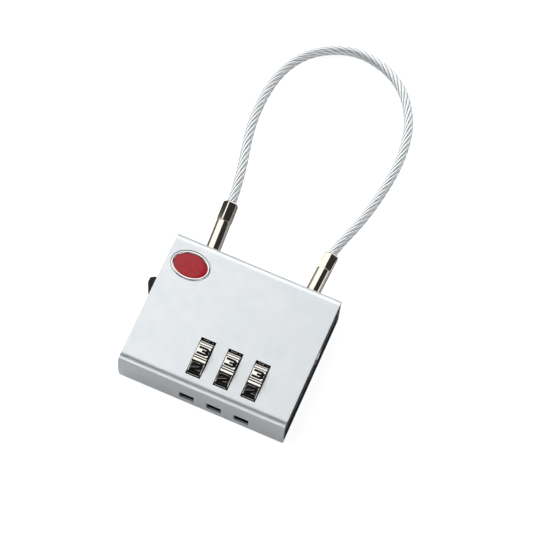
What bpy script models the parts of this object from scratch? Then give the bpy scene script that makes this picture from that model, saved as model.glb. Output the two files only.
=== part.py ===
"""Cable luggage lock with three number wheels, lying flat on its back.

+X points to the lock's right end, +Y towards the cable loop and +Z out of the front face.
The origin is the middle of the casing's flat back. Lengths are in metres.
"""

import math

import bmesh
import bpy
import numpy as np
from mathutils import Matrix, Vector

MM = 0.001

# Casing, an extrusion along X
WIDTH = 46.0 * MM
HEIGHT = 38.3 * MM
THICKNESS = 14.8 * MM
MIDDLE_Z = THICKNESS / 2
WALL = 1.0 * MM
TOP = HEIGHT / 2
BACK_EDGE_RADIUS = 1.2 * MM
FRONT_EDGE_RADIUS = 2.2 * MM
FLAT_END = TOP - 36.0 * MM
# Low front edge: arcs that follow each other, as (radius, turn in degrees): the face rolls down,
# levels off into a lip and turns into the bottom
FRONT_ROLL = [(1.9 * MM, 27), (2.0 * MM, -30), (0.35 * MM, 85.3)]
BOTTOM_RADIUS = 40.0 * MM
BOTTOM_LOW_Z = 8.7 * MM
BOTTOM_BACK_RADIUS = 0.9 * MM
INNER_EDGE_RADIUS = 0.4 * MM

# Gap between pieces that touch or run in each other
GAP = 0.3 * MM

# Number wheels and what carries them
WHEEL_X = [-3.85 * MM, 3.75 * MM, 11.35 * MM]
WHEEL_AXIS_Y = -10.2 * MM
WHEEL_AXIS_Z = 8.95 * MM
WHEEL_RADIUS = 7.6 * MM
WHEEL_WIDTH = 3.6 * MM
WHEEL_BORE = 3.5 * MM
WHEEL_DIGITS = 10
LAND_SHARE = 0.66
GRIP_RIBS = 4
GRIP_DEPTH = 0.35 * MM
DIGIT_TILT = math.radians(11)
WINDOW_WIDTH = 4.1 * MM
WINDOW_RADIUS = WHEEL_RADIUS + GAP
SLOT_WIDTH = 4.1 * MM
SLOT_LOW_Z = 5.5 * MM
SLOT_HIGH_Z = 9.55 * MM
SHAFT_RADIUS = 1.0 * MM
CAM_RADIUS = WHEEL_BORE - GAP
CAM_FLANGE_RADIUS = 4.5 * MM
CAM_FLANGE_START = 3.4 * MM
CAM_FLANGE_WIDTH = 1.0 * MM
GATE_WIDTH = 1.8 * MM
GATE_DEPTH = 1.2 * MM

# Ferrules and cable
FERRULE_RADIUS = 1.95 * MM
CRIMP_RADIUS = 2.15 * MM
SHANK_RADIUS = 1.5 * MM
BORE_RADIUS = SHANK_RADIUS + 0.35 * MM
LEFT_FERRULE_X = -13.8 * MM
LEFT_LEAN = math.radians(-3.4)
LEFT_FERRULE_TOP = 15.5 * MM
LEFT_CRIMP_START = 9.7 * MM
LEFT_SHANK = 13.0 * MM
RIGHT_FERRULE_X = 14.45 * MM
RIGHT_LEAN = math.radians(2.9)
RIGHT_FERRULE_TOP = 12.9 * MM
RIGHT_CRIMP_START = 8.1 * MM
RIGHT_SHANK = 9.0 * MM
CABLE_RADIUS = 1.27 * MM
CABLE_POINTS = 44
# The loop's way from the left ferrule to the right one, as (x, height over the casing's top, z)
CABLE_ROUTE_MM = [
    (-14.74, 15.8, 7.4),
    (-15.05, 18.8, 7.35),
    (-15.7, 23.0, 7.1),
    (-16.7, 28.0, 6.5),
    (-18.3, 34.9, 5.7),
    (-19.35, 42.1, 4.9),
    (-19.5, 48.8, 4.1),
    (-18.6, 56.0, 3.25),
    (-16.5, 61.8, 2.55),
    (-13.1, 66.5, 1.95),
    (-7.6, 70.4, 1.45),
    (-1.7, 72.1, 1.25),
    (4.0, 71.6, 1.25),
    (9.2, 69.6, 1.5),
    (13.7, 66.1, 2.0),
    (17.3, 61.1, 2.6),
    (19.4, 56.0, 3.25),
    (20.6, 49.8, 4.0),
    (20.8, 41.7, 4.95),
    (20.0, 33.8, 5.85),
    (18.5, 25.7, 6.7),
    (16.8, 19.6, 7.25),
    (15.6, 15.6, 7.4),
    (15.12, 13.2, 7.4),
]

# Cross pin through the fixed ferrule's shank
PIN_RADIUS = 0.7 * MM
PIN_DEPTH = 6.0 * MM
PIN_LOW_Z = 2.9 * MM
PIN_HIGH_Z = 11.9 * MM

# Chassis that fills the casing, and its screws
CHASSIS_HALF_LENGTH = 19.7 * MM
BAY_LOW_X = -6.6 * MM
BAY_HIGH_X = 16.6 * MM
BAY_TOP_Y = -2.2 * MM
SCREW_PLACES = [(5.0 * MM, 13.2 * MM), (-8.2 * MM, -12.0 * MM)]
SCREW_RADIUS = 0.8 * MM
SCREW_LOW_Z = 3.3 * MM
SCREW_HEAD_RADIUS = 1.5 * MM
SCREW_HEAD_Z = 12.0 * MM
SCREW_TOP_Z = 13.2 * MM

# Shaft, and the spring comb that clicks on the cams
SHAFT_LOW_X = -9.3 * MM
SHAFT_HIGH_X = 19.0 * MM
COMB_LOW_Z = 3.6 * MM
COMB_HIGH_Z = 4.1 * MM
COMB_LOW_Y = -2.9 * MM
COMB_HIGH_Y = 0.7 * MM
FINGER_END_Y = -12.0 * MM

# Latch slide behind the button: web, latch plate, fence bar and teeth
SLIDE_TRAVEL = 1.6 * MM
SLIDE_X = -19.2 * MM
SLIDE_WEB = 1.4 * MM
LATCH_LOW_Y = 9.3 * MM
LATCH_HIGH_Y = 10.3 * MM
LATCH_LOW_Z = 4.2 * MM
LATCH_HIGH_Z = 10.6 * MM
LATCH_END_X = -9.8 * MM
FENCE_LOW_Y = -1.9 * MM
FENCE_HIGH_Y = -0.4 * MM
FENCE_LOW_Z = 8.4 * MM
FENCE_HIGH_Z = 9.6 * MM
FENCE_END_X = 14.5 * MM
TOOTH_LOW_Y = WHEEL_AXIS_Y + CAM_FLANGE_RADIUS + 0.35 * MM
TOOTH_START = 2.1 * MM
TOOTH_WIDTH = 0.95 * MM
SPRING_SEAT_X = -14.9 * MM
LATCH_SPRING_RADIUS = 1.1 * MM
LATCH_SPRING_WIRE = 0.14 * MM

# Plunger and spring under the plug, as distances along the plug's axis
EJECTOR_HEAD = -LEFT_SHANK - GAP
EJECTOR_HEAD_DEPTH = 0.8 * MM
EJECTOR_STEM_END = EJECTOR_HEAD - 2.4 * MM
EJECTOR_STEM_RADIUS = 0.6 * MM
EJECTOR_SEAT = -18.8 * MM
EJECTOR_SPRING_RADIUS = 1.15 * MM
EJECTOR_SPRING_WIRE = 0.18 * MM

# End caps, button and key plug
CAP_DEPTH = 2.9 * MM
CAP_INSET = 0.1 * MM
BUTTON_LOW_Y = 2.0 * MM
BUTTON_HIGH_Y = 6.7 * MM
BUTTON_LOW_Z = 3.8 * MM
BUTTON_HIGH_Z = 10.9 * MM
BUTTON_PROUD = 2.2 * MM
BUTTON_BEVEL = 0.5 * MM
KEY_Y = 5.0 * MM
KEY_RADIUS = 2.45 * MM
KEY_LOW_X = 13.6 * MM
KEY_HIGH_X = 22.7 * MM
KEY_COLLAR_RADIUS = 3.4 * MM
KEY_COLLAR_LOW_X = 20.3 * MM
KEY_COLLAR_HIGH_X = 22.8 * MM
KEY_CAM_LOW_X = 11.6 * MM
KEY_CAM_HIGH_X = 13.0 * MM
KEY_CAM_RADIUS = 1.6 * MM
KEY_CAM_REACH = 3.0 * MM

# Badge on the front
BADGE_X = -16.4 * MM
BADGE_Y = TOP - 7.4 * MM
BADGE_LENGTH = 10.6 * MM
BADGE_WIDTH = 7.8 * MM
BADGE_RIM = 0.7 * MM
BADGE_RECESS = 0.5 * MM

ROUND_SIDES = 32
SMALL_SIDES = 20


# ---------------------------------------------------------------- materials

def material(name, color, roughness, metallic):
    """A Principled material."""
    made = bpy.data.materials.new(name)
    made.use_nodes = True
    shader = made.node_tree.nodes["Principled BSDF"]
    shader.inputs["Base Color"].default_value = (*color, 1.0)
    shader.inputs["Roughness"].default_value = roughness
    shader.inputs["Metallic"].default_value = metallic
    return made


def make_materials():
    """The object's materials by name."""
    return {
        "aluminium": material("anodised_aluminium", (0.80, 0.82, 0.83), 0.42, 1.0),
        "black": material("black_plastic", (0.02, 0.02, 0.022), 0.35, 0.0),
        "chassis": material("grey_zinc", (0.30, 0.30, 0.31), 0.5, 1.0),
        "nickel": material("nickel_plate", (0.72, 0.68, 0.62), 0.18, 1.0),
        "steel": material("spring_steel", (0.50, 0.50, 0.50), 0.35, 1.0),
        "cable": material("jacketed_cable", (0.78, 0.80, 0.80), 0.30, 0.3),
        "enamel": material("red_enamel", (0.45, 0.01, 0.03), 0.15, 0.0),
        "brass": material("brass", (0.70, 0.52, 0.25), 0.3, 1.0),
    }


# ------------------------------------------------------------------ shapes

def finish_mesh(name, bm, finish):
    """A named object from a bmesh, with outward faces and smooth round sides."""
    bmesh.ops.recalc_face_normals(bm, faces=bm.faces)
    mesh = bpy.data.meshes.new(name)
    bm.to_mesh(mesh)
    bm.free()
    mesh.shade_smooth()
    mesh.set_sharp_from_angle(angle=math.radians(35))
    mesh.materials.append(finish)
    made = bpy.data.objects.new(name, mesh)
    bpy.context.collection.objects.link(made)
    return made


def set_origin(piece, point):
    """Moves the object's origin to a point on its joint's axis, and leaves its shape where it is."""
    piece.data.transform(Matrix.Translation(-Vector(point)))
    piece.location = point
    return piece


def skin_rings(bm, rings):
    """Closes a row of equal rings of points into one body with flat ends."""
    rows = [[bm.verts.new(point) for point in ring] for ring in rings]
    count = len(rows[0])
    for low, high in zip(rows, rows[1:]):
        for i in range(count):
            bm.faces.new((low[i], low[(i + 1) % count], high[(i + 1) % count], high[i]))
    bm.faces.new(rows[0])
    bm.faces.new(rows[-1])


def prism_x(name, outline, x_low, x_high, finish):
    """An outline of (y, z) points, extruded along X."""
    bm = bmesh.new()
    skin_rings(bm, [[(x, y, z) for y, z in outline] for x in (x_low, x_high)])
    return finish_mesh(name, bm, finish)


def box(name, low, high, finish):
    """A box between two corners."""
    bm = bmesh.new()
    bmesh.ops.create_cube(bm, size=1.0)
    low, high = Vector(low), Vector(high)
    for vert in bm.verts:
        vert.co = [low[i] + (vert.co[i] + 0.5) * (high[i] - low[i]) for i in range(3)]
    return finish_mesh(name, bm, finish)


def turned(name, base, direction, stations, finish, sides=ROUND_SIDES):
    """A turned piece: stations are (distance along the axis, radius, sides of its section or 0)."""
    axis = Vector(direction).normalized()
    turn = axis.to_track_quat("Z", "Y").to_matrix()
    rings = []
    for distance, radius, flats in stations:
        ring = []
        for i in range(sides):
            angle = 2 * math.pi * i / sides
            reach = radius
            if flats:
                sector = 2 * math.pi / flats
                reach *= math.cos(sector / 2) / math.cos(angle % sector - sector / 2)
            offset = Vector((reach * math.cos(angle), reach * math.sin(angle), distance))
            ring.append(Vector(base) + turn @ offset)
        rings.append(ring)
    bm = bmesh.new()
    skin_rings(bm, rings)
    return finish_mesh(name, bm, finish)


def rod(name, base, direction, start, end, radius, finish, sides=ROUND_SIDES):
    """A plain round rod along an axis, from start to end."""
    return turned(name, base, direction, [(start, radius, 0), (end, radius, 0)], finish, sides)


def coil_spring(name, base, direction, radius, wire, turns, length, finish):
    """A round-wire compression spring as a curve with a bevel."""
    steps_per_turn = 12
    axis = Vector(direction).normalized()
    turn = axis.to_track_quat("Z", "Y").to_matrix()
    curve = bpy.data.curves.new(name, "CURVE")
    curve.dimensions = "3D"
    curve.bevel_depth = wire
    curve.bevel_resolution = 1
    curve.use_fill_caps = True
    spline = curve.splines.new("POLY")
    count = turns * steps_per_turn + 1
    spline.points.add(count - 1)
    for i in range(count):
        angle = 2 * math.pi * i / steps_per_turn
        rise = wire + (length - 2 * wire) * i / (count - 1)
        point = Vector(base) + turn @ Vector((radius * math.cos(angle), radius * math.sin(angle), rise))
        spline.points[i].co = (*point, 1.0)
    curve.materials.append(finish)
    made = bpy.data.objects.new(name, curve)
    bpy.context.collection.objects.link(made)
    return made


def oval(length, width, count):
    """Points of an ellipse in the XY plane."""
    turns = [2 * math.pi * i / count for i in range(count)]
    return [(length / 2 * math.cos(a), width / 2 * math.sin(a)) for a in turns]


def oval_plate(name, length, width, z_low, z_high, finish, count=40):
    """A flat oval plate at the badge's place."""
    bm = bmesh.new()
    outline = oval(length, width, count)
    skin_rings(bm, [[(BADGE_X + x, BADGE_Y + y, z) for x, y in outline] for z in (z_low, z_high)])
    return finish_mesh(name, bm, finish)


def boolean(piece, other, operation):
    """Joins or cuts a piece with another shape, which the build leaves out."""
    modifier = piece.modifiers.new(operation.lower() + "_" + other.name, "BOOLEAN")
    modifier.operation = operation
    modifier.solver = "EXACT"
    modifier.object = other
    other.hide_render = True
    other.display_type = "WIRE"


def cut(piece, *cutters):
    """Takes the cutters' shapes out of a piece."""
    for cutter in cutters:
        boolean(piece, cutter, "DIFFERENCE")
    return piece


def join(piece, *additions):
    """Adds overlapping shapes to a piece, as one body."""
    for addition in additions:
        boolean(piece, addition, "UNION")
    return piece


def arc(y, z, radius, start, end, steps):
    """(y, z) points on an arc, from one angle to another in degrees."""
    angles = [math.radians(start + (end - start) * i / steps) for i in range(steps + 1)]
    return [(y + radius * math.cos(a), z + radius * math.sin(a)) for a in angles]


# ------------------------------------------------------------------ casing

def bottom_arc(radius, z_high, z_low, steps):
    """The gently bulged bottom, read from its large arc between two heights."""
    centre_y = -HEIGHT / 2 + BOTTOM_RADIUS
    start = 180 - math.degrees(math.asin((z_high - BOTTOM_LOW_Z) / radius))
    end = 180 + math.degrees(math.asin((BOTTOM_LOW_Z - z_low) / radius))
    return arc(centre_y, BOTTOM_LOW_Z, radius, start, end, steps)


def following_arcs(y, z, heading, bends, step):
    """(y, z) points along arcs that follow each other, bent by (radius, turn in degrees) pairs."""
    points = [(y, z)]
    for radius, turn in bends:
        side = math.copysign(90, turn)
        towards = math.radians(heading + side)
        centre_y = y + radius * math.cos(towards)
        centre_z = z + radius * math.sin(towards)
        start = heading - side
        points += arc(centre_y, centre_z, radius, start, start + turn, round(abs(turn) / step))[1:]
        y, z = points[-1]
        heading += turn
    return points


def front_roll(step):
    """The low front edge, placed so that it ends on the bottom's arc."""
    points = following_arcs(0.0, THICKNESS, 180, FRONT_ROLL, step)
    last_y, last_z = points[-1]
    reach = math.sqrt(BOTTOM_RADIUS ** 2 - (last_z - BOTTOM_LOW_Z) ** 2)
    shift = -HEIGHT / 2 + BOTTOM_RADIUS - reach - last_y
    return [(y + shift, z) for y, z in points]


def casing_outline():
    """Outer section: rounded top edges, a roll and a lip low on the front, and a bulged bottom."""
    back_y = FLAT_END - 0.6 * MM
    points = arc(TOP - BACK_EDGE_RADIUS, BACK_EDGE_RADIUS, BACK_EDGE_RADIUS, -90, 0, 5)
    points += arc(TOP - FRONT_EDGE_RADIUS, THICKNESS - FRONT_EDGE_RADIUS, FRONT_EDGE_RADIUS, 0, 90, 8)
    points += front_roll(8)
    points += bottom_arc(BOTTOM_RADIUS, points[-1][1], 1.1 * MM, 10)[1:]
    points += arc(back_y, BOTTOM_BACK_RADIUS, BOTTOM_BACK_RADIUS, 200, 270, 4)
    return points


def cavity_outline(inset=0.0):
    """Inner section of the casing, drawn in by an inset for what fills it."""
    low_z = WALL + inset
    high_z = THICKNESS - WALL - inset
    edge = INNER_EDGE_RADIUS
    top_y = TOP - WALL - inset
    front_low_y = FLAT_END + inset
    points = arc(top_y - edge, low_z + edge, edge, -90, 0, 3)
    points += arc(top_y - edge, high_z - edge, edge, 0, 90, 3)
    points += [(front_low_y, high_z)]
    points += bottom_arc(BOTTOM_RADIUS - WALL - inset, high_z - 0.7 * MM, low_z + 0.6 * MM, 8)
    points += [(front_low_y - 0.2 * MM, low_z)]
    return points


def ferrule_base(x):
    """Where a ferrule's axis crosses the casing's top face."""
    return (x, TOP, MIDDLE_Z)


def lean_direction(lean):
    """Direction of a ferrule's axis, leaning outwards in the XY plane."""
    return (math.sin(lean), math.cos(lean), 0.0)


def ferrule_bore(name, x, lean, start, end, radius):
    """A cutter along a ferrule's axis."""
    return rod(name, ferrule_base(x), lean_direction(lean), start, end, radius, None, SMALL_SIDES)


def make_casing(finishes):
    """The aluminium extrusion with its windows, slots, ferrule holes and badge recess."""
    half = WIDTH / 2
    casing = prism_x("casing", casing_outline(), -half, half, finishes["aluminium"])
    over = 2 * MM
    cut(casing, prism_x("cut_cavity", cavity_outline(), -half - over, half + over, None))
    for i, x in enumerate(WHEEL_X):
        window = rod(f"cut_window_{i + 1}", (x, WHEEL_AXIS_Y, WHEEL_AXIS_Z), (1, 0, 0),
                     -WINDOW_WIDTH / 2, WINDOW_WIDTH / 2, WINDOW_RADIUS, None, 96)
        slot = box(f"cut_slot_{i + 1}", (x - SLOT_WIDTH / 2, -TOP - over, SLOT_LOW_Z),
                   (x + SLOT_WIDTH / 2, -TOP + over, SLOT_HIGH_Z), None)
        cut(casing, window, slot)
    for side, x, lean in (("left", LEFT_FERRULE_X, LEFT_LEAN), ("right", RIGHT_FERRULE_X, RIGHT_LEAN)):
        cut(casing, ferrule_bore(f"cut_hole_{side}", x, lean, -over, over, FERRULE_RADIUS + GAP))
    recess = oval_plate("cut_badge", BADGE_LENGTH + 2 * GAP, BADGE_WIDTH + 2 * GAP,
                        THICKNESS - BADGE_RECESS, THICKNESS + over, None)
    cut(casing, recess)
    return casing


# ---------------------------------------------------------------- end caps

def make_end_caps(finishes):
    """A black cap in each open end: one lets the button through, one holds the key plug."""
    outline = cavity_outline(GAP)
    outer = WIDTH / 2 - CAP_INSET
    inner = outer - CAP_DEPTH
    over = 1 * MM
    left = prism_x("left_end_cap", outline, -outer, -inner, finishes["black"])
    button_hole = box("cut_button_hole", (-outer - over, BUTTON_LOW_Y - GAP, BUTTON_LOW_Z - GAP),
                      (-inner + over, BUTTON_HIGH_Y + GAP, BUTTON_HIGH_Z + GAP), None)
    cut(left, button_hole)
    right = prism_x("right_end_cap", outline, inner, outer, finishes["black"])
    key_hole = rod("cut_key_hole", (0, KEY_Y, MIDDLE_Z), (1, 0, 0), inner - over, outer + over,
                   KEY_COLLAR_RADIUS + GAP, None)
    cut(right, key_hole)


# ----------------------------------------------------------------- chassis

def chassis_cutters():
    """Every pocket in the chassis, from the dial bay to the bores for the ferrules."""
    clear = 2 * MM
    open_x = SLIDE_X - clear
    web_end = SLIDE_X + SLIDE_WEB + SLIDE_TRAVEL + GAP
    mouth_depth = 3.2 * MM
    cutters = [
        box("cut_bay", (BAY_LOW_X, -TOP - clear, -clear), (BAY_HIGH_X, BAY_TOP_Y, THICKNESS + clear), None),
        box("cut_fence_way", (open_x, BAY_TOP_Y - clear / 2, FENCE_LOW_Z - GAP),
            (FENCE_END_X + SLIDE_TRAVEL + GAP, FENCE_HIGH_Y + GAP, FENCE_HIGH_Z + GAP), None),
        box("cut_web_way", (open_x, FENCE_LOW_Y - GAP, BUTTON_LOW_Z - GAP),
            (web_end, LATCH_HIGH_Y + GAP, BUTTON_HIGH_Z + GAP), None),
        box("cut_latch_way", (open_x, LATCH_LOW_Y - GAP, LATCH_LOW_Z - GAP),
            (LATCH_END_X + SLIDE_TRAVEL + GAP, LATCH_HIGH_Y + GAP, LATCH_HIGH_Z + GAP), None),
        rod("cut_latch_spring", (0, KEY_Y, MIDDLE_Z), (1, 0, 0), SLIDE_X, SPRING_SEAT_X + GAP,
            LATCH_SPRING_RADIUS + 0.5 * MM, None, SMALL_SIDES),
        rod("cut_shaft", (0, WHEEL_AXIS_Y, WHEEL_AXIS_Z), (1, 0, 0), SHAFT_LOW_X - GAP,
            SHAFT_HIGH_X + GAP, SHAFT_RADIUS + GAP, None, SMALL_SIDES),
        ferrule_bore("cut_left_bore", LEFT_FERRULE_X, LEFT_LEAN, EJECTOR_SEAT - 0.4 * MM, clear, BORE_RADIUS),
        ferrule_bore("cut_left_mouth", LEFT_FERRULE_X, LEFT_LEAN, -mouth_depth, clear, FERRULE_RADIUS + GAP),
        ferrule_bore("cut_right_bore", RIGHT_FERRULE_X, RIGHT_LEAN, -RIGHT_SHANK - GAP, clear, BORE_RADIUS),
        ferrule_bore("cut_right_mouth", RIGHT_FERRULE_X, RIGHT_LEAN, -mouth_depth, clear,
                     FERRULE_RADIUS + GAP),
        rod("cut_key_bore", (0, KEY_Y, MIDDLE_Z), (1, 0, 0), KEY_CAM_HIGH_X, KEY_HIGH_X,
            KEY_RADIUS + GAP, None),
        rod("cut_key_pocket", (0, KEY_Y, MIDDLE_Z), (1, 0, 0), KEY_CAM_LOW_X - 2 * GAP,
            KEY_CAM_HIGH_X + GAP, KEY_CAM_REACH + 2 * GAP, None),
        box("cut_detent_seat", (BAY_LOW_X, BAY_TOP_Y - clear / 2, COMB_LOW_Z - GAP),
            (BAY_HIGH_X, COMB_HIGH_Y + GAP, COMB_HIGH_Z + GAP), None),
    ]
    x, y = anchor_pin_place()
    cutters.append(rod("cut_anchor_pin", (x, y, 0), (0, 0, 1), PIN_LOW_Z - GAP, PIN_HIGH_Z + GAP,
                       PIN_RADIUS + GAP, None, SMALL_SIDES))
    for i, (x, y) in enumerate(SCREW_PLACES):
        cutters.append(rod(f"cut_screw_{i + 1}", (x, y, 0), (0, 0, 1), SCREW_LOW_Z - GAP, THICKNESS,
                           SCREW_RADIUS + GAP, None, SMALL_SIDES))
        cutters.append(rod(f"cut_screw_head_{i + 1}", (x, y, 0), (0, 0, 1), SCREW_HEAD_Z - GAP,
                           THICKNESS, SCREW_HEAD_RADIUS + GAP, None, SMALL_SIDES))
    return cutters


def make_chassis(finishes):
    """The cast chassis in two halves, back and front, that meet at mid thickness."""
    outline = cavity_outline(GAP)
    cutters = chassis_cutters()
    far = 3 * THICKNESS
    halves = (("chassis_back", MIDDLE_Z, far), ("chassis_front", -far, MIDDLE_Z + GAP))
    for name, low, high in halves:
        half = prism_x(name, outline, -CHASSIS_HALF_LENGTH, CHASSIS_HALF_LENGTH, finishes["chassis"])
        other = box("cut_" + name, (-WIDTH, -HEIGHT, low), (WIDTH, HEIGHT, high), None)
        cut(half, other, *cutters)


def make_chassis_screws(finishes):
    """Two countersunk screws that hold the halves together."""
    slot_depth = 0.4 * MM
    slot_half_width = 0.25 * MM
    for i, (x, y) in enumerate(SCREW_PLACES):
        stations = [
            (SCREW_LOW_Z, SCREW_RADIUS, 0),
            (SCREW_HEAD_Z, SCREW_RADIUS, 0),
            (SCREW_HEAD_Z + GAP, SCREW_HEAD_RADIUS, 0),
            (SCREW_TOP_Z, SCREW_HEAD_RADIUS, 0),
        ]
        screw = turned(f"chassis_screw_{i + 1}", (x, y, 0), (0, 0, 1), stations, finishes["steel"],
                       SMALL_SIDES)
        slot = box(f"cut_driver_slot_{i + 1}",
                   (x - 2 * SCREW_HEAD_RADIUS, y - slot_half_width, SCREW_TOP_Z - slot_depth),
                   (x + 2 * SCREW_HEAD_RADIUS, y + slot_half_width, THICKNESS), None)
        cut(screw, slot)


# ------------------------------------------------------------ number wheels

def wheel_outline():
    """Wheel rim: ten plain lands for the digits, with a few grip ribs between them."""
    points = []
    pitch = 2 * math.pi / WHEEL_DIGITS
    land = pitch * LAND_SHARE
    rib = (pitch - land) / GRIP_RIBS
    for digit in range(WHEEL_DIGITS):
        middle = math.pi / 2 - DIGIT_TILT + digit * pitch
        for i in range(4):
            angle = middle - land / 2 + land * i / 3
            points.append((WHEEL_RADIUS, angle))
        for i in range(GRIP_RIBS):
            start = middle + land / 2 + rib * i
            points.append((WHEEL_RADIUS - GRIP_DEPTH, start + rib * 0.3))
            if i < GRIP_RIBS - 1:
                points.append((WHEEL_RADIUS - 0.1 * MM, start + rib * 0.8))
    return [(WHEEL_AXIS_Y + r * math.cos(a), WHEEL_AXIS_Z + r * math.sin(a)) for r, a in points]


def make_wheels(finishes):
    """The three number wheels, each with its gated cam on the shaft."""
    for i, x in enumerate(WHEEL_X):
        centre = (x, WHEEL_AXIS_Y, WHEEL_AXIS_Z)
        wheel = prism_x(f"dial_{i + 1}", wheel_outline(), x - WHEEL_WIDTH / 2, x + WHEEL_WIDTH / 2,
                        finishes["nickel"])
        set_origin(wheel, centre)
        bore = rod(f"cut_dial_bore_{i + 1}", centre, (1, 0, 0), -WHEEL_WIDTH, WHEEL_WIDTH, WHEEL_BORE, None)
        cut(wheel, bore)
        cam_stations = [
            (-WHEEL_WIDTH / 2, CAM_RADIUS, 0),
            (CAM_FLANGE_START, CAM_RADIUS, 0),
            (CAM_FLANGE_START, CAM_FLANGE_RADIUS, 0),
            (CAM_FLANGE_START + CAM_FLANGE_WIDTH, CAM_FLANGE_RADIUS, 0),
        ]
        cam = turned(f"dial_cam_{i + 1}", centre, (1, 0, 0), cam_stations, finishes["brass"])
        set_origin(cam, centre)
        cam_bore = rod(f"cut_cam_bore_{i + 1}", centre, (1, 0, 0), -5 * MM, 6 * MM, SHAFT_RADIUS + GAP,
                       None, SMALL_SIDES)
        gate_y = WHEEL_AXIS_Y + CAM_FLANGE_RADIUS
        gate = box(f"cut_gate_{i + 1}",
                   (x + CAM_FLANGE_START - 0.5 * MM, gate_y - GATE_DEPTH, WHEEL_AXIS_Z - GATE_WIDTH / 2),
                   (x + CAM_FLANGE_START + 2 * MM, gate_y + 1 * MM, WHEEL_AXIS_Z + GATE_WIDTH / 2), None)
        cut(cam, cam_bore, gate)


def make_shaft_and_detent(finishes):
    """The steel shaft under the wheels, and the spring comb whose fingers click on the cams."""
    rod("dial_shaft", (0, WHEEL_AXIS_Y, WHEEL_AXIS_Z), (1, 0, 0), SHAFT_LOW_X, SHAFT_HIGH_X,
        SHAFT_RADIUS, finishes["steel"], SMALL_SIDES)
    side_gap = 0.4 * MM
    comb = box("detent_spring", (BAY_LOW_X + side_gap, COMB_LOW_Y, COMB_LOW_Z),
               (BAY_HIGH_X - side_gap, COMB_HIGH_Y, COMB_HIGH_Z), finishes["steel"])
    for i, x in enumerate(WHEEL_X):
        start = x + CAM_FLANGE_START
        finger = box(f"finger_{i + 1}", (start, FINGER_END_Y, COMB_LOW_Z),
                     (start + CAM_FLANGE_WIDTH, COMB_LOW_Y + 0.5 * MM, COMB_HIGH_Z), None)
        join(comb, finger)


# ------------------------------------------------- button, latch and springs

def make_button(finishes):
    """The push-button in the left end, with a sloped thumb face."""
    outer = -WIDTH / 2 - BUTTON_PROUD
    inner = SLIDE_X - GAP
    outline = [
        (inner, BUTTON_LOW_Y),
        (inner, BUTTON_HIGH_Y),
        (outer + 1.2 * MM, BUTTON_HIGH_Y),
        (outer, BUTTON_HIGH_Y - 0.7 * MM),
        (outer, BUTTON_HIGH_Y - 2.2 * MM),
        (outer + 1.5 * MM, BUTTON_LOW_Y),
    ]
    bm = bmesh.new()
    skin_rings(bm, [[(x, y, z) for x, y in outline] for z in (BUTTON_LOW_Z, BUTTON_HIGH_Z)])
    button = finish_mesh("release_button", bm, finishes["black"])
    set_origin(button, (outer, KEY_Y, MIDDLE_Z))
    bevel = button.modifiers.new("soft_edges", "BEVEL")
    bevel.width = BUTTON_BEVEL
    bevel.segments = 2
    bevel.limit_method = "ANGLE"
    return button


def make_latch_slide(finishes):
    """The slide behind the button: latch plate round the plug, web, fence bar and three teeth."""
    slide = box("latch_slide", (SLIDE_X, FENCE_LOW_Y, LATCH_LOW_Z),
                (SLIDE_X + SLIDE_WEB, LATCH_HIGH_Y, LATCH_HIGH_Z), finishes["steel"])
    overlap = 0.4 * MM
    plate = box("latch_plate", (SLIDE_X + overlap, LATCH_LOW_Y, LATCH_LOW_Z + overlap),
                (LATCH_END_X, LATCH_HIGH_Y - overlap / 2, LATCH_HIGH_Z - overlap), None)
    fence = box("fence_bar", (SLIDE_X + overlap, FENCE_LOW_Y + overlap / 2, FENCE_LOW_Z),
                (FENCE_END_X, FENCE_HIGH_Y, FENCE_HIGH_Z - overlap / 2), None)
    join(slide, plate, fence)
    middle_z = (FENCE_LOW_Z + FENCE_HIGH_Z) / 2
    for i, x in enumerate(WHEEL_X):
        start = x + TOOTH_START
        tooth = box(f"fence_tooth_{i + 1}", (start, TOOTH_LOW_Y, middle_z - TOOTH_WIDTH / 2),
                    (start + TOOTH_WIDTH, FENCE_HIGH_Y - overlap, middle_z + TOOTH_WIDTH / 2), None)
        join(slide, tooth)
    neck_x = LEFT_FERRULE_X - latch_depth() * math.tan(LEFT_LEAN)
    for name, offset in (("cut_latch_hole", 0.0), ("cut_latch_hole_far", -SLIDE_TRAVEL)):
        hole = rod(name, (neck_x + offset, 0, MIDDLE_Z), (0, 1, 0), KEY_Y, TOP, SHANK_RADIUS + GAP, None,
                   SMALL_SIDES)
        cut(slide, hole)
    set_origin(slide, (SLIDE_X, KEY_Y, MIDDLE_Z))
    spring_x = SLIDE_X + SLIDE_WEB + GAP
    coil_spring("latch_spring", (spring_x, KEY_Y, MIDDLE_Z), (1, 0, 0), LATCH_SPRING_RADIUS,
                LATCH_SPRING_WIRE, 4, SPRING_SEAT_X - spring_x, finishes["steel"])


# -------------------------------------------------------- ferrules and cable

def latch_depth():
    """How far under the casing's top the middle of the latch plate lies."""
    return TOP - (LATCH_LOW_Y + LATCH_HIGH_Y) / 2


def ferrule_stations(shank, notch, crimp_start, top):
    """Stations of a ferrule: shank with a neck for the latch, round sleeve, hexagonal crimp."""
    stations = [(-shank, SHANK_RADIUS - 0.4 * MM, 0), (-shank + 0.4 * MM, SHANK_RADIUS, 0)]
    if notch:
        low, high = notch
        neck = SHANK_RADIUS - 0.55 * MM
        stations += [(low, SHANK_RADIUS, 0), (low, neck, 0), (high, neck, 0), (high, SHANK_RADIUS, 0)]
    sleeve_start = -2.8 * MM
    stations += [
        (sleeve_start, SHANK_RADIUS, 0),
        (sleeve_start, FERRULE_RADIUS, 0),
        (crimp_start, FERRULE_RADIUS, 0),
        (crimp_start + 0.3 * MM, CRIMP_RADIUS, 6),
        (top - 0.3 * MM, CRIMP_RADIUS, 6),
        (top, CRIMP_RADIUS - 0.3 * MM, 6),
    ]
    return stations


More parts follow.
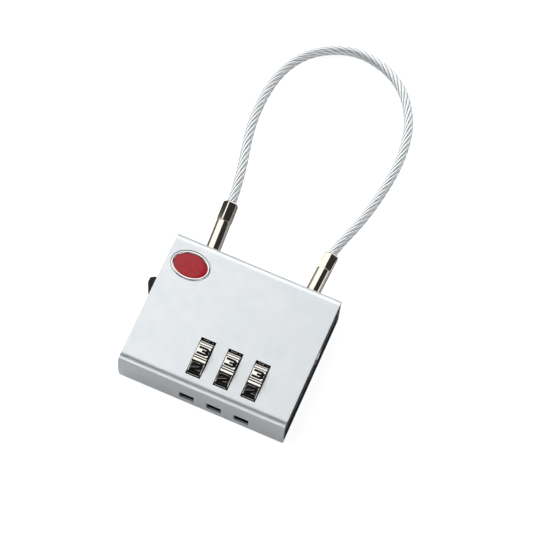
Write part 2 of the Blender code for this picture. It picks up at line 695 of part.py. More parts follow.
def make_ferrules(finishes):
    """The plug that the latch lets go, and the ferrule that stays in the chassis."""
    notch = (-latch_depth() - 1.0 * MM, -latch_depth() + 1.0 * MM)
    stations = ferrule_stations(LEFT_SHANK, notch, LEFT_CRIMP_START, LEFT_FERRULE_TOP)
    base = ferrule_base(LEFT_FERRULE_X)
    left = turned("plug_ferrule", base, lean_direction(LEFT_LEAN), stations, finishes["nickel"], 36)
    set_origin(left, base)
    stations = ferrule_stations(RIGHT_SHANK, None, RIGHT_CRIMP_START, RIGHT_FERRULE_TOP)
    right = turned("fixed_ferrule", ferrule_base(RIGHT_FERRULE_X), lean_direction(RIGHT_LEAN), stations,
                   finishes["nickel"], 36)
    x, y = anchor_pin_place()
    hole = rod("cut_ferrule_pin", (x, y, 0), (0, 0, 1), PIN_LOW_Z, PIN_HIGH_Z, PIN_RADIUS + GAP, None,
               SMALL_SIDES)
    cut(right, hole)
    rod("anchor_pin", (x, y, 0), (0, 0, 1), PIN_LOW_Z, PIN_HIGH_Z, PIN_RADIUS, finishes["steel"],
        SMALL_SIDES)


def anchor_pin_place():
    """Where the cross pin passes through the fixed ferrule's shank, in X and Y."""
    return RIGHT_FERRULE_X - PIN_DEPTH * math.sin(RIGHT_LEAN), TOP - PIN_DEPTH * math.cos(RIGHT_LEAN)


def make_ejector(finishes):
    """The plunger and spring under the plug that lift it out when the latch lets go."""
    base = ferrule_base(LEFT_FERRULE_X)
    axis = lean_direction(LEFT_LEAN)
    head_base = EJECTOR_HEAD - EJECTOR_HEAD_DEPTH
    stations = [
        (EJECTOR_STEM_END, EJECTOR_STEM_RADIUS, 0),
        (head_base, EJECTOR_STEM_RADIUS, 0),
        (head_base, SHANK_RADIUS, 0),
        (EJECTOR_HEAD, SHANK_RADIUS, 0),
    ]
    ejector = turned("ejector", base, axis, stations, finishes["steel"], SMALL_SIDES)
    set_origin(ejector, base)
    start = Vector(base) + Vector(axis) * EJECTOR_SEAT
    coil_spring("ejector_spring", start, axis, EJECTOR_SPRING_RADIUS, EJECTOR_SPRING_WIRE, 5,
                head_base - GAP - EJECTOR_SEAT, finishes["steel"])


def smooth_route(points, count):
    """Evenly spaced points on a natural cubic spline through the given ones."""
    knots = np.array(points)
    steps = np.linalg.norm(np.diff(knots, axis=0), axis=1)
    at = np.concatenate([[0.0], np.cumsum(steps)])
    n = len(knots)
    system = np.eye(n)
    right = np.zeros((n, 3))
    for i in range(1, n - 1):
        before, after = steps[i - 1], steps[i]
        system[i, i - 1:i + 2] = before, 2 * (before + after), after
        slope_after = (knots[i + 1] - knots[i]) / after
        slope_before = (knots[i] - knots[i - 1]) / before
        right[i] = 6 * (slope_after - slope_before)
    bend = np.linalg.solve(system, right)
    made = []
    for s in np.linspace(0.0, at[-1], count):
        i = min(int(np.searchsorted(at, s, side="right")) - 1, n - 2)
        h = steps[i]
        a, b = (at[i + 1] - s) / h, (s - at[i]) / h
        curve = ((a ** 3 - a) * bend[i] + (b ** 3 - b) * bend[i + 1]) * h * h / 6
        made.append(a * knots[i] + b * knots[i + 1] + curve)
    return made


def make_cable(finishes):
    """The jacketed steel cable, a loop from ferrule to ferrule that comes to rest on the surface."""
    route = [(x * MM, TOP + height * MM, z * MM) for x, height, z in CABLE_ROUTE_MM]
    curve = bpy.data.curves.new("cable", "CURVE")
    curve.dimensions = "3D"
    curve.bevel_depth = CABLE_RADIUS
    curve.bevel_resolution = 2
    curve.use_fill_caps = True
    spline = curve.splines.new("POLY")
    spline.points.add(CABLE_POINTS - 1)
    for point, place in zip(spline.points, smooth_route(route, CABLE_POINTS)):
        point.co = (*place, 1.0)
    curve.materials.append(finishes["cable"])
    cable = bpy.data.objects.new("cable", curve)
    bpy.context.collection.objects.link(cable)


# ----------------------------------------------------------- key plug, badge

def make_key_plug(finishes):
    """The inspector's key plug with its collar in the right end cap and its tail cam."""
    centre = (0, KEY_Y, MIDDLE_Z)
    over = 1 * MM
    plug = rod("key_plug", centre, (1, 0, 0), KEY_LOW_X, KEY_HIGH_X, KEY_RADIUS, finishes["brass"])
    half_height = 1.5 * MM
    half_width = 0.35 * MM
    keyway = box("cut_keyway", (KEY_HIGH_X - 5 * MM, KEY_Y - half_height, MIDDLE_Z - half_width),
                 (KEY_HIGH_X + over, KEY_Y + half_height, MIDDLE_Z + half_width), None)
    cut(plug, keyway)
    set_origin(plug, (KEY_HIGH_X, KEY_Y, MIDDLE_Z))
    collar = rod("key_collar", centre, (1, 0, 0), KEY_COLLAR_LOW_X, KEY_COLLAR_HIGH_X, KEY_COLLAR_RADIUS,
                 finishes["nickel"])
    cut(collar, rod("cut_collar", centre, (1, 0, 0), KEY_COLLAR_LOW_X - over, KEY_COLLAR_HIGH_X + over,
                    KEY_RADIUS + GAP, None))
    cam = rod("key_cam", centre, (1, 0, 0), KEY_CAM_LOW_X, KEY_CAM_HIGH_X, KEY_CAM_RADIUS,
              finishes["steel"])
    inset = 0.1 * MM
    finger = box("key_cam_finger", (KEY_CAM_LOW_X + inset, KEY_Y - KEY_CAM_RADIUS / 2, MIDDLE_Z),
                 (KEY_CAM_HIGH_X - inset, KEY_Y + KEY_CAM_RADIUS / 2, MIDDLE_Z + KEY_CAM_REACH), None)
    join(cam, finger)
    set_origin(cam, (KEY_CAM_LOW_X, KEY_Y, MIDDLE_Z))


def make_badge(finishes):
    """A plain oval badge: a metal rim round a red field, in the casing's recess."""
    floor = THICKNESS - BADGE_RECESS
    low_z = floor + 0.15 * MM
    rim = oval_plate("badge_rim", BADGE_LENGTH, BADGE_WIDTH, low_z, THICKNESS + 0.1 * MM,
                     finishes["nickel"])
    inner_length = BADGE_LENGTH - 2 * BADGE_RIM
    inner_width = BADGE_WIDTH - 2 * BADGE_RIM
    opening = oval_plate("cut_badge_rim", inner_length, inner_width, floor - 1 * MM, THICKNESS + 1 * MM,
                         None)
    cut(rim, opening)
    inset = 0.2 * MM
    oval_plate("badge_field", inner_length - 2 * inset, inner_width - 2 * inset, low_z, THICKNESS,
               finishes["enamel"])


def main():
    for old in list(bpy.data.objects):
        bpy.data.objects.remove(old)
    finishes = make_materials()
    make_casing(finishes)
    make_end_caps(finishes)
    make_chassis(finishes)
    make_chassis_screws(finishes)
    make_wheels(finishes)
    make_shaft_and_detent(finishes)
    make_button(finishes)
    make_latch_slide(finishes)
    make_ferrules(finishes)
    make_ejector(finishes)
    make_cable(finishes)
    make_key_plug(finishes)
    make_badge(finishes)


main()
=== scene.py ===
"""Looks of the cable luggage lock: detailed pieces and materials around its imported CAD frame.

+X points to the key end, +Y to the cable loop and +Z out of the front face. Lengths are in metres.
"""

import math

import bmesh
import bpy
import numpy as np
from mathutils import Matrix, Vector


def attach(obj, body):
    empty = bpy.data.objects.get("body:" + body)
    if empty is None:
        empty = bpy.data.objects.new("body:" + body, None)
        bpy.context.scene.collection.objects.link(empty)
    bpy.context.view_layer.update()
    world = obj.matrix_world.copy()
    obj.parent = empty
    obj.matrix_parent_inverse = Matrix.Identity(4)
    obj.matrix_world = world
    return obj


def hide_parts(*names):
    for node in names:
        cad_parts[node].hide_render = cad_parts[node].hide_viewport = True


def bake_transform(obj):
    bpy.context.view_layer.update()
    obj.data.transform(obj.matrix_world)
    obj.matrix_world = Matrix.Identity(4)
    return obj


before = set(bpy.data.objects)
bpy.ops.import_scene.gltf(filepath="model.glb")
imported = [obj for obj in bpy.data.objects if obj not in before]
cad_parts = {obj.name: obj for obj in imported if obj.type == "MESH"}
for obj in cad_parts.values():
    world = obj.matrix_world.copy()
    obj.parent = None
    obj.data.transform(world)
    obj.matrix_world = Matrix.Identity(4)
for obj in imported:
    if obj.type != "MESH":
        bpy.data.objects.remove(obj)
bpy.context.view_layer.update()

MM = 0.001

# Casing, an extrusion along X: the CAD's numbers, and a break along its edges
WIDTH = 46.0 * MM
HEIGHT = 38.3 * MM
THICKNESS = 14.8 * MM
MIDDLE_Z = THICKNESS / 2
WALL = 1.0 * MM
TOP = HEIGHT / 2
BACK_EDGE_RADIUS = 1.2 * MM
FRONT_EDGE_RADIUS = 2.2 * MM
FLAT_END = TOP - 36.0 * MM
# Low front edge: arcs that follow each other, as (radius, turn in degrees)
FRONT_ROLL = [(1.9 * MM, 27), (2.0 * MM, -30), (0.35 * MM, 85.3)]
BOTTOM_RADIUS = 40.0 * MM
BOTTOM_LOW_Z = 8.7 * MM
BOTTOM_BACK_RADIUS = 0.9 * MM
INNER_EDGE_RADIUS = 0.4 * MM
EDGE_BREAK = 0.15 * MM

# Number wheels; lands are narrower than in the CAD, and grip ribs, given by their widths, fewer
WHEEL_X = [-3.85 * MM, 3.75 * MM, 11.35 * MM]
WHEEL_AXIS_Y = -10.2 * MM
WHEEL_AXIS_Z = 8.95 * MM
WHEEL_RADIUS = 7.6 * MM
WHEEL_WIDTH = 3.6 * MM
WHEEL_BORE = 3.5 * MM
WHEEL_CHAMFER = 0.16 * MM
WHEEL_DIGITS = 10
LAND_SHARE = 0.61
GRIP_RIBS = [0.27 * MM, 0.56 * MM]
GRIP_DEPTH = 0.35 * MM
DIGIT_TILT = math.radians(11)
SHOWN_DIGIT = 3
WINDOW_WIDTH = 4.1 * MM
WINDOW_RADIUS = WHEEL_RADIUS + 0.3 * MM
SLOT_WIDTH = 4.1 * MM
SLOT_LOW_Z = 5.5 * MM
SLOT_HIGH_Z = 9.55 * MM
SLOT_WALL = 0.7 * MM

# Digits: centre lines in a unit cell, drawn with a pen PEN wide and stretched to DIGIT_CELL. Nickel edges go
# from DIGIT_FOOT to DIGIT_TOP over the land, DIGIT_SPREAD wider at the foot, with black paint on their tops
DIGIT_CELL = (3.0 * MM, 2.3 * MM)
DIGIT_FOOT = -0.03 * MM
DIGIT_TOP = 0.02 * MM
DIGIT_SPREAD = 0.025
PAINT_LOW = DIGIT_TOP - 0.01 * MM
PAINT_HIGH = DIGIT_TOP + 0.012 * MM
PEN = 0.28
DIGIT_STROKES = {
    0: [("loop", (0.1, 0.27), (0.1, 0.73), (0.26, 0.9), (0.74, 0.9), (0.9, 0.73), (0.9, 0.27),
         (0.74, 0.1), (0.26, 0.1))],
    1: [("line", (0.26, 0.66), (0.52, 0.9), (0.52, 0.0))],
    2: [("line", (0.1, 0.7), (0.24, 0.9), (0.76, 0.9), (0.9, 0.77), (0.9, 0.62), (0.12, 0.22),
         (0.12, 0.1), (1.0, 0.1))],
    3: [("line", (0.04, 0.88), (0.76, 0.88), (0.9, 0.76), (0.9, 0.62), (0.78, 0.5), (0.4, 0.5)),
        ("line", (0.6, 0.5), (0.78, 0.5), (0.9, 0.38), (0.9, 0.24), (0.76, 0.12), (0.02, 0.12))],
    4: [("line", (0.72, 0.0), (0.72, 0.88), (0.12, 0.34)), ("line", (0.05, 0.32), (0.98, 0.32))],
    5: [("line", (0.94, 0.9), (0.14, 0.9), (0.12, 0.58), (0.74, 0.58), (0.9, 0.44), (0.9, 0.25),
         (0.74, 0.1), (0.04, 0.1))],
    6: [("loop", (0.1, 0.26), (0.1, 0.42), (0.24, 0.55), (0.76, 0.55), (0.9, 0.42), (0.9, 0.26),
         (0.76, 0.1), (0.24, 0.1)),
        ("line", (0.1, 0.34), (0.1, 0.72), (0.28, 0.9), (0.86, 0.9))],
    7: [("line", (0.02, 0.9), (0.88, 0.9), (0.38, 0.0))],
    8: [("loop", (0.1, 0.26), (0.1, 0.74), (0.26, 0.9), (0.74, 0.9), (0.9, 0.74), (0.9, 0.26),
         (0.74, 0.1), (0.26, 0.1)),
        ("line", (0.1, 0.5), (0.9, 0.5))],
    9: [("loop", (0.9, 0.74), (0.9, 0.58), (0.76, 0.45), (0.24, 0.45), (0.1, 0.58), (0.1, 0.74),
         (0.24, 0.9), (0.76, 0.9)),
        ("line", (0.9, 0.66), (0.9, 0.28), (0.72, 0.1), (0.14, 0.1))],
}

# Ferrules, as distances along each one's axis from the casing's top
FERRULE_RADIUS = 1.95 * MM
CRIMP_RADIUS = 2.15 * MM
CRIMP_SHARPNESS = 34
SHANK_RADIUS = 1.5 * MM
LEFT_FERRULE_X = -13.8 * MM
LEFT_LEAN = math.radians(-3.4)
LEFT_FERRULE_TOP = 15.5 * MM
LEFT_CRIMP_START = 9.7 * MM
LEFT_HEX_TURN = math.radians(17)
LEFT_SHANK = 13.0 * MM
LEFT_NOTCH = -9.35 * MM
RIGHT_FERRULE_X = 14.45 * MM
RIGHT_LEAN = math.radians(2.9)
RIGHT_FERRULE_TOP = 12.9 * MM
RIGHT_CRIMP_START = 8.1 * MM
RIGHT_HEX_TURN = math.radians(30)
RIGHT_SHANK = 9.0 * MM
PIN_RADIUS = 0.7 * MM
PIN_DEPTH = 6.0 * MM

# Cable: the loop's way from the left ferrule to the right one, as (x, height over the top, z)
CABLE_RADIUS = 1.27 * MM
CABLE_STRANDS = 7
CABLE_LAY = 15.5 * MM
CABLE_STEPS = 700
CABLE_TUCK = 2.0 * MM
CABLE_ROUTE_MM = [
    (-14.74, 15.8, 7.4),
    (-15.05, 18.8, 7.35),
    (-15.7, 23.0, 7.1),
    (-16.7, 28.0, 6.5),
    (-18.3, 34.9, 5.7),
    (-19.35, 42.1, 4.9),
    (-19.5, 48.8, 4.1),
    (-18.6, 56.0, 3.25),
    (-16.5, 61.8, 2.55),
    (-13.1, 66.5, 1.95),
    (-7.6, 70.4, 1.45),
    (-1.7, 72.1, 1.25),
    (4.0, 71.6, 1.25),
    (9.2, 69.6, 1.5),
    (13.7, 66.1, 2.0),
    (17.3, 61.1, 2.6),
    (19.4, 56.0, 3.25),
    (20.6, 49.8, 4.0),
    (20.8, 41.7, 4.95),
    (20.0, 33.8, 5.85),
    (18.5, 25.7, 6.7),
    (16.8, 19.6, 7.25),
    (15.6, 15.6, 7.4),
    (15.12, 13.2, 7.4),
]

# Springs: their ends along X and along the left ferrule's axis, and (radius, wire's radius, turns)
LATCH_SPRING_X = (-17.5 * MM, -14.9 * MM)
LATCH_COIL = (1.1 * MM, 0.12 * MM, 3)
EJECTOR_SPRING = (-18.8 * MM, -14.4 * MM)
EJECTOR_COIL = (1.15 * MM, 0.18 * MM, 5)

# End caps, button and key plug; the plug and its collar end a little further in than in the CAD
CAP_DEPTH = 2.9 * MM
CAP_INSET = 0.1 * MM
CAP_GAP = 0.1 * MM
BUTTON_LOW_Y = 2.0 * MM
BUTTON_HIGH_Y = 6.7 * MM
BUTTON_LOW_Z = 3.8 * MM
BUTTON_HIGH_Z = 10.9 * MM
BUTTON_PROUD = 2.2 * MM
BUTTON_INNER_X = -19.5 * MM
NICK_INSET = 0.249 * MM
NICK_DROP = 2.9 * MM
NICK_REACH = 1.9 * MM
NICK_RADIUS = 0.17 * MM
KEY_Y = 5.0 * MM
KEY_RADIUS = 2.45 * MM
KEY_LOW_X = 13.6 * MM
KEY_HIGH_X = 22.55 * MM
KEY_COLLAR_RADIUS = 3.4 * MM
KEY_COLLAR_LOW_X = 20.3 * MM
KEY_COLLAR_HIGH_X = 22.62 * MM

# Badge on the front
BADGE_X = -16.4 * MM
BADGE_Y = TOP - 7.4 * MM
BADGE_LENGTH = 10.6 * MM
BADGE_WIDTH = 7.8 * MM
BADGE_RIM = 0.7 * MM
BADGE_RECESS = 0.5 * MM

# Camera: a long lens from above the front face, looking a little towards the cable
CAMERA_LENS = 183.3
CAMERA_SENSOR = 36.0
CAMERA_AIM = (4.4 * MM, 18.6 * MM, 13.8 * MM)
CAMERA_DISTANCE = 722.6 * MM
CAMERA_AZIMUTH = math.radians(16.9)
CAMERA_ELEVATION = math.radians(69.4)
CAMERA_ROLL = math.radians(6.8)

# Surround: brightness, two dark cards as (start, full, fade, end) along X and Y of the view direction, and
# the span of Z over which it dims towards the horizon
SKY_COLOR = (0.97, 0.985, 1.0, 1.0)
SKY_BRIGHT = 1.57
SKY_DARK = 0.04
RIGHT_CARD_X = (-0.1, 0.06, 0.86, 0.95)
RIGHT_CARD_Y = (-0.5, -0.3, 0.6, 0.8)
FRONT_CARD_X = (-0.75, -0.45, 0.25, 0.55)
FRONT_CARD_Y = (-0.98, -0.9, -0.3, -0.1)
SKY_HORIZON = (0.0, 0.14)
SKY_LOW = 0.25
BACKDROP = 1.0

# Floor: its grey, the glow that the camera sees, and the dark part that reflections see
FLOOR_Z = -0.05 * MM
FLOOR_REACH = 3.0
FLOOR_GREY = 0.68
FLOOR_GLOW = 0.76
FLOOR_DARK = 0.06
FLOOR_DARK_X = (-60 * MM, -24 * MM)


# -------- node materials

def map_range(tree, value, start, end, low, high):
    """A node that goes from low to high while the value goes from start to end."""
    node = tree.nodes.new("ShaderNodeMapRange")
    for socket, number in (("From Min", start), ("From Max", end), ("To Min", low), ("To Max", high)):
        node.inputs[socket].default_value = number
    tree.links.new(value, node.inputs["Value"])
    return node


class Shader:
    """A Principled material, with short ways to add nodes to it."""

    def __init__(self, name, color, roughness, metallic):
        self.material = bpy.data.materials.new(name)
        self.material.use_nodes = True
        self.tree = self.material.node_tree
        self.bsdf = self.tree.nodes["Principled BSDF"]
        self.set("Base Color", (*color, 1.0))
        self.set("Roughness", roughness)
        self.set("Metallic", metallic)
        self.coordinates = self.tree.nodes.new("ShaderNodeTexCoord").outputs["Object"]

    def set(self, socket, value):
        """Sets one of the shader's own sockets."""
        self.bsdf.inputs[socket].default_value = value

    def link(self, output, socket):
        """Links a node's output to one of the shader's own sockets."""
        self.tree.links.new(output, self.bsdf.inputs[socket])

    def place(self, scale):
        """Object coordinates, stretched along X, Y and Z."""
        mapping = self.tree.nodes.new("ShaderNodeMapping")
        mapping.inputs["Scale"].default_value = scale
        self.tree.links.new(self.coordinates, mapping.inputs["Vector"])
        return mapping.outputs["Vector"]

    def noise(self, size, detail=3.0, stretch=(1, 1, 1)):
        """Noise whose features are about size across, in metres."""
        texture = self.tree.nodes.new("ShaderNodeTexNoise")
        texture.inputs["Scale"].default_value = 1 / size
        texture.inputs["Detail"].default_value = detail
        self.tree.links.new(self.place(stretch), texture.inputs["Vector"])
        return texture.outputs["Fac"]

    def span(self, value, low, high, start=0.3, end=0.7):
        """From low to high while the value goes from start to end."""
        return map_range(self.tree, value, start, end, low, high).outputs["Result"]

    def attribute(self, name):
        """A number stored on the mesh."""
        node = self.tree.nodes.new("ShaderNodeAttribute")
        node.attribute_name = name
        return node.outputs["Fac"]

    def blend(self, factor, first, second):
        """A colour between two colours or sockets, by a factor."""
        node = self.tree.nodes.new("ShaderNodeMix")
        node.data_type = "RGBA"
        self.tree.links.new(factor, node.inputs["Factor"])
        for name, color in (("A", first), ("B", second)):
            socket = next(s for s in node.inputs if s.name == name and s.type == "RGBA")
            if isinstance(color, tuple):
                socket.default_value = (*color, 1.0)
            else:
                self.tree.links.new(color, socket)
        return next(s for s in node.outputs if s.type == "RGBA")

    def bump(self, height, distance, strength=1.0):
        """Raises the surface by a height field, distance deep."""
        node = self.tree.nodes.new("ShaderNodeBump")
        node.inputs["Distance"].default_value = distance
        node.inputs["Strength"].default_value = strength
        self.tree.links.new(height, node.inputs["Height"])
        previous = self.bsdf.inputs["Normal"].links
        if previous:
            self.tree.links.new(previous[0].from_socket, node.inputs["Normal"])
        self.link(node.outputs["Normal"], "Normal")


def anodised_aluminium():
    """Bead-blasted aluminium, with faint die lines along the extrusion."""
    shader = Shader("anodised_aluminium", (0.80, 0.82, 0.835), 0.44, 1.0)
    cloud = shader.span(shader.noise(9 * MM, 3.0), 0.0, 1.0)
    shader.link(shader.blend(cloud, (0.79, 0.815, 0.83), (0.83, 0.845, 0.855)), "Base Color")
    shader.link(shader.span(shader.noise(2.5 * MM, 4.0), 0.40, 0.48), "Roughness")
    shader.bump(shader.noise(0.16 * MM, 2.0), 0.006 * MM, 0.6)
    shader.bump(shader.noise(0.5 * MM, 2.0, (0.02, 1, 1)), 0.004 * MM, 0.35)
    return shader.material


def cut_aluminium():
    """The bright edge that a cutter leaves on the casing's ends and openings."""
    shader = Shader("cut_aluminium", (0.90, 0.92, 0.94), 0.22, 1.0)
    shader.link(shader.span(shader.noise(0.3 * MM, 3.0), 0.17, 0.28), "Roughness")
    return shader.material


def shade_painted_aluminium():
    """Painted shade: the casing's inside and the walls of its windows, coloured near black though they are
    aluminium.
    """
    shader = Shader("shade_painted_aluminium", (0.012, 0.012, 0.013), 0.6, 0.0)
    shader.link(shader.span(shader.noise(0.5 * MM, 3.0), 0.5, 0.7), "Roughness")
    shader.set("Specular IOR Level", 0.1)
    return shader.material


def nickel_plate(name, color, low, high, shade_grooves=False):
    """Nickel plate with faint polishing marks, dull spots, a painted dark reflection at grazing edges and, if
    asked, painted black shade in grooves.
    """
    shader = Shader(name, color, low, 1.0)
    duller = tuple(0.9 * value for value in color)
    tone = shader.blend(shader.span(shader.noise(0.9 * MM, 4.0), 0.0, 1.0, 0.45, 0.75), color, duller)
    # Painted shade: the grooves between the grip ribs are coloured near black
    if shade_grooves:
        tone = shader.blend(shader.span(shader.attribute("groove"), 0.0, 1.0, 0.1, 0.8), tone,
                            (0.012, 0.011, 0.01))
    shader.link(tone, "Base Color")
    shader.link(shader.span(shader.noise(0.7 * MM, 4.0, (1, 0.12, 1)), low, high), "Roughness")
    # Painted reflection: a dark tint darkens the nickel at grazing angles, standing in for dark surroundings
    # seen along its edges
    shader.set("Specular Tint", (0.35, 0.33, 0.3, 1.0))
    shader.bump(shader.noise(0.12 * MM, 2.0, (1, 0.08, 1)), 0.001 * MM, 0.3)
    return shader.material


def black_plastic():
    """Black moulded plastic with a fine spark-eroded texture."""
    shader = Shader("black_plastic", (0.008, 0.008, 0.009), 0.42, 0.0)
    shader.set("Specular IOR Level", 0.25)
    shader.link(shader.span(shader.noise(1.5 * MM, 3.0), 0.36, 0.5), "Roughness")
    shader.bump(shader.noise(0.1 * MM, 2.0), 0.006 * MM, 0.7)
    return shader.material


def cast_zinc():
    """Cast zinc, grainy and dull, coloured far darker than bare zinc as painted shade for the gaps into the
    casing.
    """
    shader = Shader("cast_zinc", (0.06, 0.06, 0.065), 0.6, 0.6)
    shader.link(shader.blend(shader.noise(0.8 * MM, 4.0), (0.035, 0.035, 0.04), (0.09, 0.09, 0.095)),
                "Base Color")
    shader.bump(shader.noise(0.25 * MM, 3.0), 0.02 * MM, 0.6)
    return shader.material


def spring_steel():
    """Plain drawn steel."""
    shader = Shader("spring_steel", (0.42, 0.42, 0.43), 0.3, 1.0)
    shader.link(shader.span(shader.noise(0.4 * MM, 3.0), 0.22, 0.4), "Roughness")
    return shader.material


def turned_brass():
    """Brass with turning marks."""
    shader = Shader("turned_brass", (0.66, 0.48, 0.22), 0.28, 1.0)
    shader.link(shader.span(shader.noise(0.3 * MM, 3.0), 0.2, 0.36), "Roughness")
    shader.bump(shader.noise(0.1 * MM, 2.0, (1, 0.1, 0.1)), 0.002 * MM, 0.5)
    return shader.material


def jacketed_strands():
    """Bright steel strands under a thin milky jacket: painted highlights along them, grey painted shade lines
    between.
    """
    shader = Shader("jacketed_strands", (0.74, 0.76, 0.76), 0.4, 0.7)
    # Painted highlight: lighter bands along each strand
    highlight_tone = shader.blend(shader.attribute("painted_highlight"), (0.78, 0.80, 0.805), (0.98, 1.0, 1.0))
    # Painted shade: near-black lines along the grooves between the strands
    lines = shader.span(shader.attribute("groove"), 0.0, 0.9, 0.25, 0.85)
    shader.link(shader.blend(lines, highlight_tone, (0.03, 0.032, 0.035)), "Base Color")
    shader.link(shader.span(shader.noise(0.8 * MM, 3.0), 0.36, 0.48), "Roughness")
    shader.set("Coat Weight", 0.3)
    shader.set("Coat Roughness", 0.15)
    return shader.material


def red_enamel():
    """Glossy red enamel, with a faint mottle under a clear coat."""
    shader = Shader("red_enamel", (0.50, 0.012, 0.03), 0.4, 0.0)
    mottle = shader.span(shader.noise(0.8 * MM, 3.0), 0.0, 1.0)
    shader.link(shader.blend(mottle, (0.52, 0.010, 0.022), (0.42, 0.006, 0.015)), "Base Color")
    shader.set("Specular IOR Level", 0.2)
    shader.set("Coat Weight", 0.35)
    shader.set("Coat Roughness", 0.05)
    return shader.material


def digit_paint():
    """Black paint on the tops of the digits."""
    shader = Shader("digit_paint", (0.006, 0.006, 0.006), 0.5, 0.0)
    shader.link(shader.span(shader.noise(0.2 * MM, 3.0), 0.4, 0.65), "Roughness")
    shader.set("Specular IOR Level", 0.1)
    return shader.material


# -------- mesh tools

def mesh_object(name, bm, *materials, sharp=35):
    """A linked object from a bmesh, smooth except at edges sharper than an angle."""
    bmesh.ops.recalc_face_normals(bm, faces=bm.faces)
    mesh = bpy.data.meshes.new(name)
    bm.to_mesh(mesh)
    bm.free()
    mesh.shade_smooth()
    mesh.set_sharp_from_angle(angle=math.radians(sharp))
    made = bpy.data.objects.new(name, mesh)
    for finish in materials:
        mesh.materials.append(finish)
    bpy.context.scene.collection.objects.link(made)
    return made


def skin(bm, rings, ends="flat"):
    """Closes equal rings of points into one body, with flat ends or with the last joined to the first."""
    rows = [[bm.verts.new(point) for point in ring] for ring in rings]
    count = len(rows[0])
    pairs = list(zip(rows, rows[1:]))
    if ends == "joined":
        pairs.append((rows[-1], rows[0]))
    for low, high in pairs:
        for i in range(count):
            after = (i + 1) % count
            bm.faces.new((low[i], low[after], high[after], high[i]))
    if ends == "flat":
        bm.faces.new(rows[0])
        bm.faces.new(rows[-1])


def loft(name, rings, *materials, ends="flat", sharp=35):
    """An object skinned over rings of points."""
    bm = bmesh.new()
    skin(bm, rings, ends)
    return mesh_object(name, bm, *materials, sharp=sharp)


def prism_x(name, outline, x_low, x_high, *materials):
    """An outline of (y, z) points, extruded along X."""
    return loft(name, [[(x, y, z) for y, z in outline] for x in (x_low, x_high)], *materials)


def block(name, low, high, *materials):
    """A box between two corners."""
    (x0, y0, z0), (x1, y1, z1) = low, high
    corners = [(y0, z0), (y1, z0), (y1, z1), (y0, z1)]
    return prism_x(name, corners, x0, x1, *materials)


def lathe_rings(base, direction, stations, sides=64):
    """Rings round an axis from (distance, radius, sharpness of a hexagon or 0, its turn) stations."""
    turn = Vector(direction).to_track_quat("Y", "Z").to_matrix()
    rings = []
    for distance, radius, hexagon, start in stations:
        ring = []
        for i in range(sides):
            angle = 2 * math.pi * i / sides
            reach = radius
            if hexagon:
                flats = [max(0.0, math.cos(angle - start - k * math.pi / 3)) for k in range(6)]
                apothem = radius * math.cos(math.pi / 6)
                reach = apothem / sum(flat ** hexagon for flat in flats) ** (1 / hexagon)
            offset = Vector((reach * math.sin(angle), distance, reach * math.cos(angle)))
            ring.append(Vector(base) + turn @ offset)
        rings.append(ring)
    return rings


def round_rod(name, base, direction, start, end, radius, sides=64, materials=()):
    """A plain rod, used as a cutter."""
    stations = [(start, radius, 0, 0), (end, radius, 0, 0)]
    return loft(name, lathe_rings(base, direction, stations, sides), *materials)


def apply_modifiers(piece):
    """Turns the piece's modifiers into its mesh."""
    graph = bpy.context.evaluated_depsgraph_get()
    mesh = bpy.data.meshes.new_from_object(piece.evaluated_get(graph))
    piece.modifiers.clear()
    piece.data = mesh


def combine(piece, operation, *others):
    """Cuts other shapes out of a piece or joins them to it, with their finishes, and removes them."""
    for other in others:
        modifier = piece.modifiers.new(other.name, "BOOLEAN")
        modifier.operation = operation
        modifier.solver = "EXACT"
        modifier.material_mode = "TRANSFER"
        modifier.object = other
    apply_modifiers(piece)
    for other in others:
        bpy.data.objects.remove(other)


def soften(piece, width, segments=2, angle=40, finish=None):
    """Rounds the sharp edges, and gives the new faces a finish of their own if one is named."""
    modifier = piece.modifiers.new("edges", "BEVEL")
    modifier.width = width
    modifier.segments = segments
    modifier.limit_method = "ANGLE"
    modifier.angle_limit = math.radians(angle)
    modifier.use_clamp_overlap = True
    if finish is not None:
        piece.data.materials.append(finish)
        modifier.material = len(piece.data.materials) - 1
    apply_modifiers(piece)
    piece.data.shade_smooth()
    piece.data.set_sharp_from_angle(angle=math.radians(35))
    weighted = piece.modifiers.new("normals", "WEIGHTED_NORMAL")
    weighted.keep_sharp = True
    apply_modifiers(piece)


def arc(y, z, radius, start, end, steps):
    """(y, z) points on an arc, from one angle to another in degrees."""
    angles = [math.radians(start + (end - start) * i / steps) for i in range(steps + 1)]
    return [(y + radius * math.cos(a), z + radius * math.sin(a)) for a in angles]


# -------- casing

def bottom_arc(radius, z_high, z_low, steps):
    """The gently bulged bottom, from its large arc between two heights."""
    centre_y = -HEIGHT / 2 + BOTTOM_RADIUS
    start = 180 - math.degrees(math.asin((z_high - BOTTOM_LOW_Z) / radius))
    end = 180 + math.degrees(math.asin((BOTTOM_LOW_Z - z_low) / radius))
    return arc(centre_y, BOTTOM_LOW_Z, radius, start, end, steps)


def following_arcs(y, z, heading, bends, step):
    """(y, z) points along arcs that follow each other, bent by (radius, turn in degrees) pairs."""
    points = [(y, z)]
    for radius, turn in bends:
        side = math.copysign(90, turn)
        towards = math.radians(heading + side)
        centre_y = y + radius * math.cos(towards)
        centre_z = z + radius * math.sin(towards)
        start = heading - side
        points += arc(centre_y, centre_z, radius, start, start + turn, round(abs(turn) / step))[1:]
        y, z = points[-1]
        heading += turn
    return points


def front_roll(step):
    """The low front edge, placed so that it ends on the bottom's arc."""
    points = following_arcs(0.0, THICKNESS, 180, FRONT_ROLL, step)
    last_y, last_z = points[-1]
    reach = math.sqrt(BOTTOM_RADIUS ** 2 - (last_z - BOTTOM_LOW_Z) ** 2)
    shift = -HEIGHT / 2 + BOTTOM_RADIUS - reach - last_y
    return [(y + shift, z) for y, z in points]


